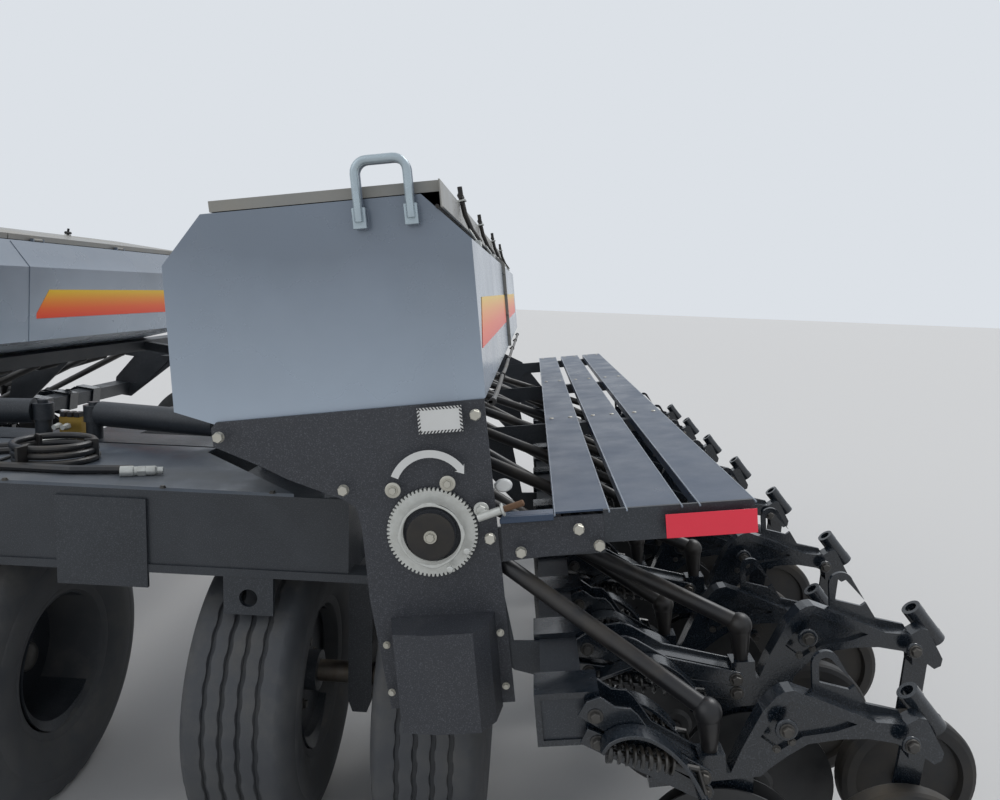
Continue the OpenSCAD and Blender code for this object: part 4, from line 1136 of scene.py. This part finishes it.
@dataclass
class RoadWheels:
    """Tyres of the five road wheels and the two wing wheels, and the road wheels' fasteners."""

    axle_y: float = 0.470
    hub_z: float = 0.390
    radius: float = 0.390
    width: float = 0.280
    bead: float = 0.1908
    strut_x: float = 0.971
    twin: float = 0.229
    nut_circle: float = 0.085
    wing_hub: tuple = (-0.060, 3.300, -0.718)
    wing_size: tuple = (0.330, 0.230, 0.1653)

    def one(self, name: str, x: float, body: str) -> RibbedTyre:
        """A road tyre at a place along the axle line."""
        return RibbedTyre(name, tuple(LAY.on_deck(x, self.axle_y, self.hub_z)), (1, 0, 0), self.radius,
                          self.width, self.bead, body)

    def wheel_nuts(self, name: str, faces: Sequence[tuple], body: str) -> None:
        """Six wheel nuts and a hub cap on each face of the rims' discs.

        Args:
            name: Name of the piece.
            faces: Place of each disc face, the way that it looks, and the axle's end on that side.
            body: CAD body of the wheel.
        """
        shape = Shape(LAY.on_deck)
        for x, out, end in faces:
            for k in range(6):
                y, z = polar((self.axle_y, self.hub_z), self.nut_circle, 60 * k + 15)
                shape.bolt((x, y, z), (x + out, y, z), 0.012, 0.016)
            if end is not None:
                shape.lathe((end, self.axle_y, self.hub_z), (end + out, self.axle_y, self.hub_z),
                            [(0.042, -0.016), (0.042, 0.002), (0.038, 0.012), (0.024, 0.018), (0.006, 0.019)],
                            24)
        shape.piece(name, BLACK_BOLT, body, "plain_steel")

    def build(self) -> None:
        """Builds every tyre and its wheel nuts."""
        far, near = self.strut_x + self.twin, self.strut_x - self.twin
        for side in Side:
            m, body = side.value, f"{side.word}_wheels"
            outer = self.one(f"{side.word}_outer_tyre", m * far, body).build([f"{side.word}_tyres"])
            self.one(f"{side.word}_inner_tyre", m * near, body).build([])
            LOG.info("%s stands for the CAD pair", outer.name)
            wing = RibbedTyre(f"{side.word}_wing_tyre_ribbed", tuple(LAY.on_wing(side)(*self.wing_hub)),
                              (0, 1, 0), *self.wing_size, f"{side.word}_wing_wheel", steps=140)
            wing.build([f"{side.word}_wing_tyre"])
            faces = [(m * (far - 0.052), m, m * (far + 0.030)), (m * (near + 0.052), -m, m * (near - 0.030)),
                     (m * (near + 0.068), m, None)]
            self.wheel_nuts(f"{side.word}_wheel_nuts", faces, body)
        self.one("centre_tyre_ribbed", 0.0, "centre_wheel").build(["centre_tyre"])
        self.wheel_nuts("centre_wheel_nuts", [(-0.052, 1, 0.0)], "centre_wheel")


# Openers


@dataclass
class OpenerTrim(WingTrim):
    """Springs under bent straps, link cheeks, bolts and nuts of one wing's row openers."""

    coil_turns: int = 8
    coil_steps: int = 12
    wire: float = 0.0038
    coil: float = 0.0165
    beside: float = 0.060
    strap_half: float = 0.021
    strap_t: float = 0.007
    cheek: tuple = (0.0302, 0.0368)
    far_shift: tuple = (0.065, 0.008)
    link_from: tuple = ((0.810, -0.575), (0.810, -0.628))
    link_to: tuple = ((1.150, -0.672), (1.150, -0.702))
    strap_path: tuple = ((0.834, -0.636), (0.850, -0.617), (0.880, -0.607), (0.912, -0.611), (0.945, -0.631),
                         (0.975, -0.664), (0.998, -0.706), (1.016, -0.752))
    body_bolts: tuple = ((1.303, -0.594, 0.021, 0.0105), (1.284, -0.632, 0.0, 0.006),
                         (1.312, -0.619, 0.0, 0.006), (1.526, -0.637, 0.017, 0.0105))
    body_half: float = 0.018
    press: tuple = (1.520, -0.950)
    spring_from: tuple = (0.846, -0.642)
    spring_to: tuple = (0.958, -0.672)

    def spring(self, shape: Shape, a: Point, b: Point) -> None:
        """Winds one compression spring between two points of the wing."""
        count = self.coil_turns * self.coil_steps
        pa, pb = shape.place(*a), shape.place(*b)
        run = pb - pa
        axis = run.normalized()
        across = axis.cross(Vector((0, 1, 0))).normalized()
        other = axis.cross(across)
        turn = 2 * math.pi / self.coil_steps
        pts = [pa + run * (k / count) + self.coil * (math.cos(turn * k) * across + math.sin(turn * k) * other)
               for k in range(count + 1)]
        held, shape.place = shape.place, straight
        shape.tube(pts, self.wire, 6)
        shape.place = held

    def strap(self, shape: Shape, y: float, far: bool) -> None:
        """Bends one flat strap over a spring.

        Args:
            shape: The mesh that takes it.
            y: Middle of its width along the wing.
            far: True in the rank that stands further out.
        """
        du, dv = self.far_shift if far else (0.0, 0.0)
        held = [self.strap_path[0]] + [(u + du, v + dv) for u, v in self.strap_path[1:]]
        path = smooth_path([(u, y, v) for u, v in held], 3)
        rings = []
        for i, p in enumerate(path):
            run = (path[min(i + 1, len(path) - 1)] - path[max(i - 1, 0)]).normalized()
            out = Vector((-run.z, 0.0, run.x)) * (self.strap_t / 2)
            w = Vector((0.0, self.strap_half, 0.0))
            rings.append(shape.ring([p + out - w, p + out + w, p - out + w, p - out - w]))
        shape.skin(rings)

    def cheeks(self, shape: Shape, bolts: Shape, y: float, shift: tuple) -> None:
        """Cast cheeks on both faces of one row's two links, with their pivot bolts.

        Args:
            shape: The mesh that takes the cheeks.
            bolts: The mesh that takes the bolts.
            y: The row's place.
            shift: The rank's shift in u and v.
        """
        inner, outer = self.cheek
        for (au, av), (bu, bv), hump in zip(self.link_from, self.link_to, (0.046, 0.018)):
            a, b = Vector((au, av)), Vector((bu + shift[0], bv + shift[1]))
            run = b - a
            reach = run.length
            run = run / reach
            up = Vector((-run.y, run.x))
            outline = [(-0.006, -0.017), (reach, -0.017), (reach + 0.012, -0.008), (reach + 0.012, 0.008),
                       (reach, 0.017), (0.55 * reach, 0.017), (0.34 * reach, hump * 0.92),
                       (0.27 * reach, hump), (0.17 * reach, 0.6 * hump + 0.006),
                       (0.04 * reach, 0.7 * hump + 0.004), (-0.006, 0.016)]
            points = [tuple(a + run * t + up * h) for t, h in outline]
            for low, high in ((-outer, -inner), (inner, outer)):
                shape.prism(points, y + low, y + high)
            for end in (a + run * 0.022, b - run * 0.006):
                bolts.bolt((end.x, y - outer, end.y), (end.x, y - 1, end.y), 0.0105, 0.0145)
                bolts.bolt((end.x, y + outer, end.y), (end.x, y + 1, end.y), 0.0105, 0.0145)

    def build(self) -> None:
        """Builds springs, straps, cheeks and bolts row by row, each kind as one piece."""
        springs, straps, cheeks, bolts = (self.shape() for _ in range(4))
        for row in range(LAY.rows):
            du, dv = shift = LAY.shift[row % 2]
            far = row % 2 == 1
            su, sv = self.far_shift if far else (0.0, 0.0)
            y = LAY.row_y(row)
            for dy in (-self.beside, self.beside):
                (au, av), (bu, bv) = self.spring_from, self.spring_to
                a, b = (au, y + dy, av), (bu + su, y + dy, bv + sv)
                self.spring(springs, a, b)
                springs.tube([(0.832, y + dy, -0.639), (1.004 + su, y + dy, -0.686 + sv),
                              (1.014 + su, y + dy, -0.735 + sv)], 0.006, 8)
                for end in (a, b):
                    springs.lathe(end, (end[0] + 0.97, end[1], end[2] - 0.25),
                                  [(0.021, -0.002), (0.021, 0.002)], 14)
                self.strap(straps, y + dy, far)
            straps.tube([(1.010 + su, y - 0.086, -0.742 + sv), (1.010 + su, y + 0.086, -0.742 + sv)],
                        0.009, 12)
            self.cheeks(cheeks, bolts, y, shift)
            for u, v, boss, size in self.body_bolts:
                for way in (-1, 1):
                    face = y + way * self.body_half
                    if boss:
                        cheeks.lathe((u + du, face, v + dv), (u + du, y + way, v + dv),
                                     [(boss, 0.0), (boss, 0.004), (boss * 0.9, 0.006)], 20)
                        face += way * 0.006
                    bolts.bolt((u + du, face, v + dv), (u + du, y + way * 2, v + dv), size, size * 1.3)
            pu, pv = self.press
            bolts.bolt((pu + du, y - 0.031, pv), (pu + du, y - 1, pv), 0.012, 0.0135)
        self.done(springs, "down_springs", SPRING_PAINT, "frame_black")
        self.done(straps, "spring_straps", CAST_PAINT, "frame_black", 0.0012)
        self.done(cheeks, "link_cheeks", CAST_PAINT, "frame_black", 0.0012)
        self.done(bolts, "opener_bolts", BLACK_BOLT, "plain_steel")


# Walkboard, beam and deck


@dataclass
class WalkboardTrim(WingTrim):
    """Rolled edges, broken at the cross seam, and fasteners of the three planks."""

    inner_u: float = 0.782
    plank: float = 0.116
    gap: float = 0.034
    top: float = -0.274
    split: float = 2.5527
    length: float = 3.800
    roll: float = 0.0022
    beam_y: tuple = (1.218, 2.376, 3.754)

    def build(self) -> None:
        """Builds the rolled edges and the bolts of the cross beams."""
        edges, bolts = self.shape(), self.shape()
        for k in range(3):
            u0 = self.inner_u + k * (self.plank + self.gap)
            for u in (u0 + self.roll * 0.6, u0 + self.plank - self.roll * 0.6):
                for y0, y1 in ((0.0, self.split - 0.002), (self.split + 0.002, self.length)):
                    edges.tube([(u, y0, self.top - self.roll * 0.6), (u, y1, self.top - self.roll * 0.6)],
                               self.roll, 8)
            for y in self.beam_y:
                for u in (u0 + 0.024, u0 + self.plank - 0.024):
                    bolts.lathe((u, y, self.top), (u, y, 1), [(0.0085, 0.0), (0.0080, 0.0016),
                                                              (0.0055, 0.0030), (0.0015, 0.0036)], 14)
        # The edge tubes take a painted highlight, bright where light catches the planks' edges.
        self.done(edges, "plank_edge_highlights", PLANK_EDGE_HIGHLIGHT, "frame_black")
        self.done(bolts, "plank_bolts", BOLT_ZINC, "zinc_metal")


@dataclass
class DeckTrim:
    """Couplings, cables, valve fittings and fasteners on the carriage's deck."""

    top: float = 0.993
    hose_ends: tuple = (((0.395, 0.249), (0.430, 0.262), 0.011), ((0.066, 0.490), (0.075, 0.510), 0.009),
                        ((0.012, 0.545), (0.020, 0.570), 0.009), ((-0.545, 0.259), (-0.560, 0.262), 0.011))
    wires: int = 6
    wire_r: float = 0.0035
    coil_at: tuple = (0.166, 0.370)

    def couplings(self) -> None:
        """Zinc couplings and caps on the hose ends, with hexagons between their collars."""
        zinc = Shape(LAY.on_deck)
        for (ax, ay), (bx, by), r in self.hose_ends:
            run = Vector((bx - ax, by - ay, 0.0)).normalized()
            z = self.top + r + 0.0003
            a = Vector((bx, by, z)) - run * 0.020
            b = a + run
            zinc.lathe(a, b, [(r * 1.25, 0.0), (r * 1.25, 0.030), (r * 1.05, 0.032), (r * 1.05, 0.040)], 20)
            zinc.lathe(a + run * 0.040, b, [(r * 1.25, 0.0), (r * 1.25, 0.018)], 6)
            zinc.lathe(a + run * 0.058, b, [(r * 1.1, 0.0), (r * 1.1, 0.022), (r * 0.8, 0.026),
                                            (r * 0.8, 0.040)], 20)
        zinc.piece("hose_couplings", ZINC, "carriage", "zinc_metal", 0.0006)

    def cables(self) -> None:
        """Bundle of grey cables tied down along the deck, and the ties round the coil."""
        cable, ties = Shape(LAY.on_deck), Shape(LAY.on_deck)
        draw = random.Random(7)
        for k in range(self.wires):
            dx, dy = draw.uniform(-0.012, 0.012), 0.0085 * (k - 2.5)
            lift = self.top + self.wire_r + 0.0004
            points = [(-0.62 + dx, 0.300 + dy, lift), (-0.40, 0.298 + dy, lift),
                      (-0.20, 0.292 + dy, lift + 0.002 * (k % 2)), (-0.02, 0.300 + dy, lift),
                      (0.04, 0.330 + dy * 0.8, lift), (0.045 + dx * 0.3, 0.420 + dy, lift),
                      (0.06 + dx, 0.470, lift)]
            cable.tube(smooth_path(points, 5), self.wire_r, 6)
        for x, y in ((-0.42, 0.298), (-0.22, 0.292), (-0.04, 0.299)):
            ties.block((x - 0.003, y - 0.030, self.top), (x + 0.003, y + 0.030, self.top + 0.0105))
        cx, cy = self.coil_at
        for angle in (20, 140, 260):
            t = math.radians(angle)
            u = (math.cos(t), math.sin(t))
            low, high, crown = 0.078, 0.112, self.top + 0.058
            across = (-u[1] * 0.004, u[0] * 0.004)
            corners = ((low, self.top), (high, self.top), (high, crown), (low, crown))
            ring = [(cx + u[0] * r + across[0], cy + u[1] * r + across[1], z) for r, z in corners]
            back = [(x - 2 * across[0], y - 2 * across[1], z) for x, y, z in ring]
            ties.skin([ties.ring(ring), ties.ring(back)])
        cable.piece("deck_cables", GREY_CABLE, "carriage", "black_plastic")
        ties.piece("deck_ties", BLACK_PLASTIC, "carriage", "black_plastic", 0.0008)

    def valve(self) -> None:
        """Ports and fittings on the valve block, and its wiring plugs."""
        ports, plugs = Shape(LAY.on_deck), Shape(LAY.on_deck)
        for x in (-0.020, 0.006):
            for y, out in ((0.706, -1), (0.794, 1)):
                at = (x, y, self.top + 0.028)
                ports.lathe(at, (x, y + out, at[2]), [(0.010, 0.0), (0.010, 0.014), (0.008, 0.016),
                                                      (0.008, 0.030)], 6)
        for x in (-0.022, 0.0, 0.022):
            plugs.block((x - 0.008, 0.722, self.top + 0.0522), (x + 0.008, 0.752, self.top + 0.068))
            ports.lathe((x, 0.775, self.top + 0.052), (x, 0.775, 2), [(0.008, 0.0), (0.008, 0.006),
                                                                      (0.005, 0.008)], 6)
        ports.piece("valve_ports", ZINC, "carriage", "zinc_metal")
        plugs.piece("valve_plugs", BLACK_PLASTIC, "carriage", "black_plastic", 0.0015)

    def beam_bolts(self) -> None:
        """Small bolts along the deck's rear edge."""
        bolts = Shape(LAY.on_deck)
        for side in (1, -1):
            for x in (0.18, 0.56, 0.82):
                bolts.bolt((side * x, 0.168, self.top), (side * x, 0.168, 2), 0.006)
        bolts.piece("beam_bolts", BLACK_BOLT, "carriage", "plain_steel")

    def build(self) -> None:
        """Builds everything on the deck."""
        for part in (self.couplings, self.cables, self.valve, self.beam_bolts):
            part()


def main() -> None:
    """Builds the scene in order."""
    logging.basicConfig(level=logging.INFO, format="%(message)s")
    Studio().build()
    NodeDress().build()
    RoadWheels().build()
    DeckTrim().build()
    for side in Side:
        SeedBoxTrim(side).build()
        EndPlateTrim(side).build()
        WalkboardTrim(side).build()
        OpenerTrim(side).build()


if __name__ == "__main__":
    main()
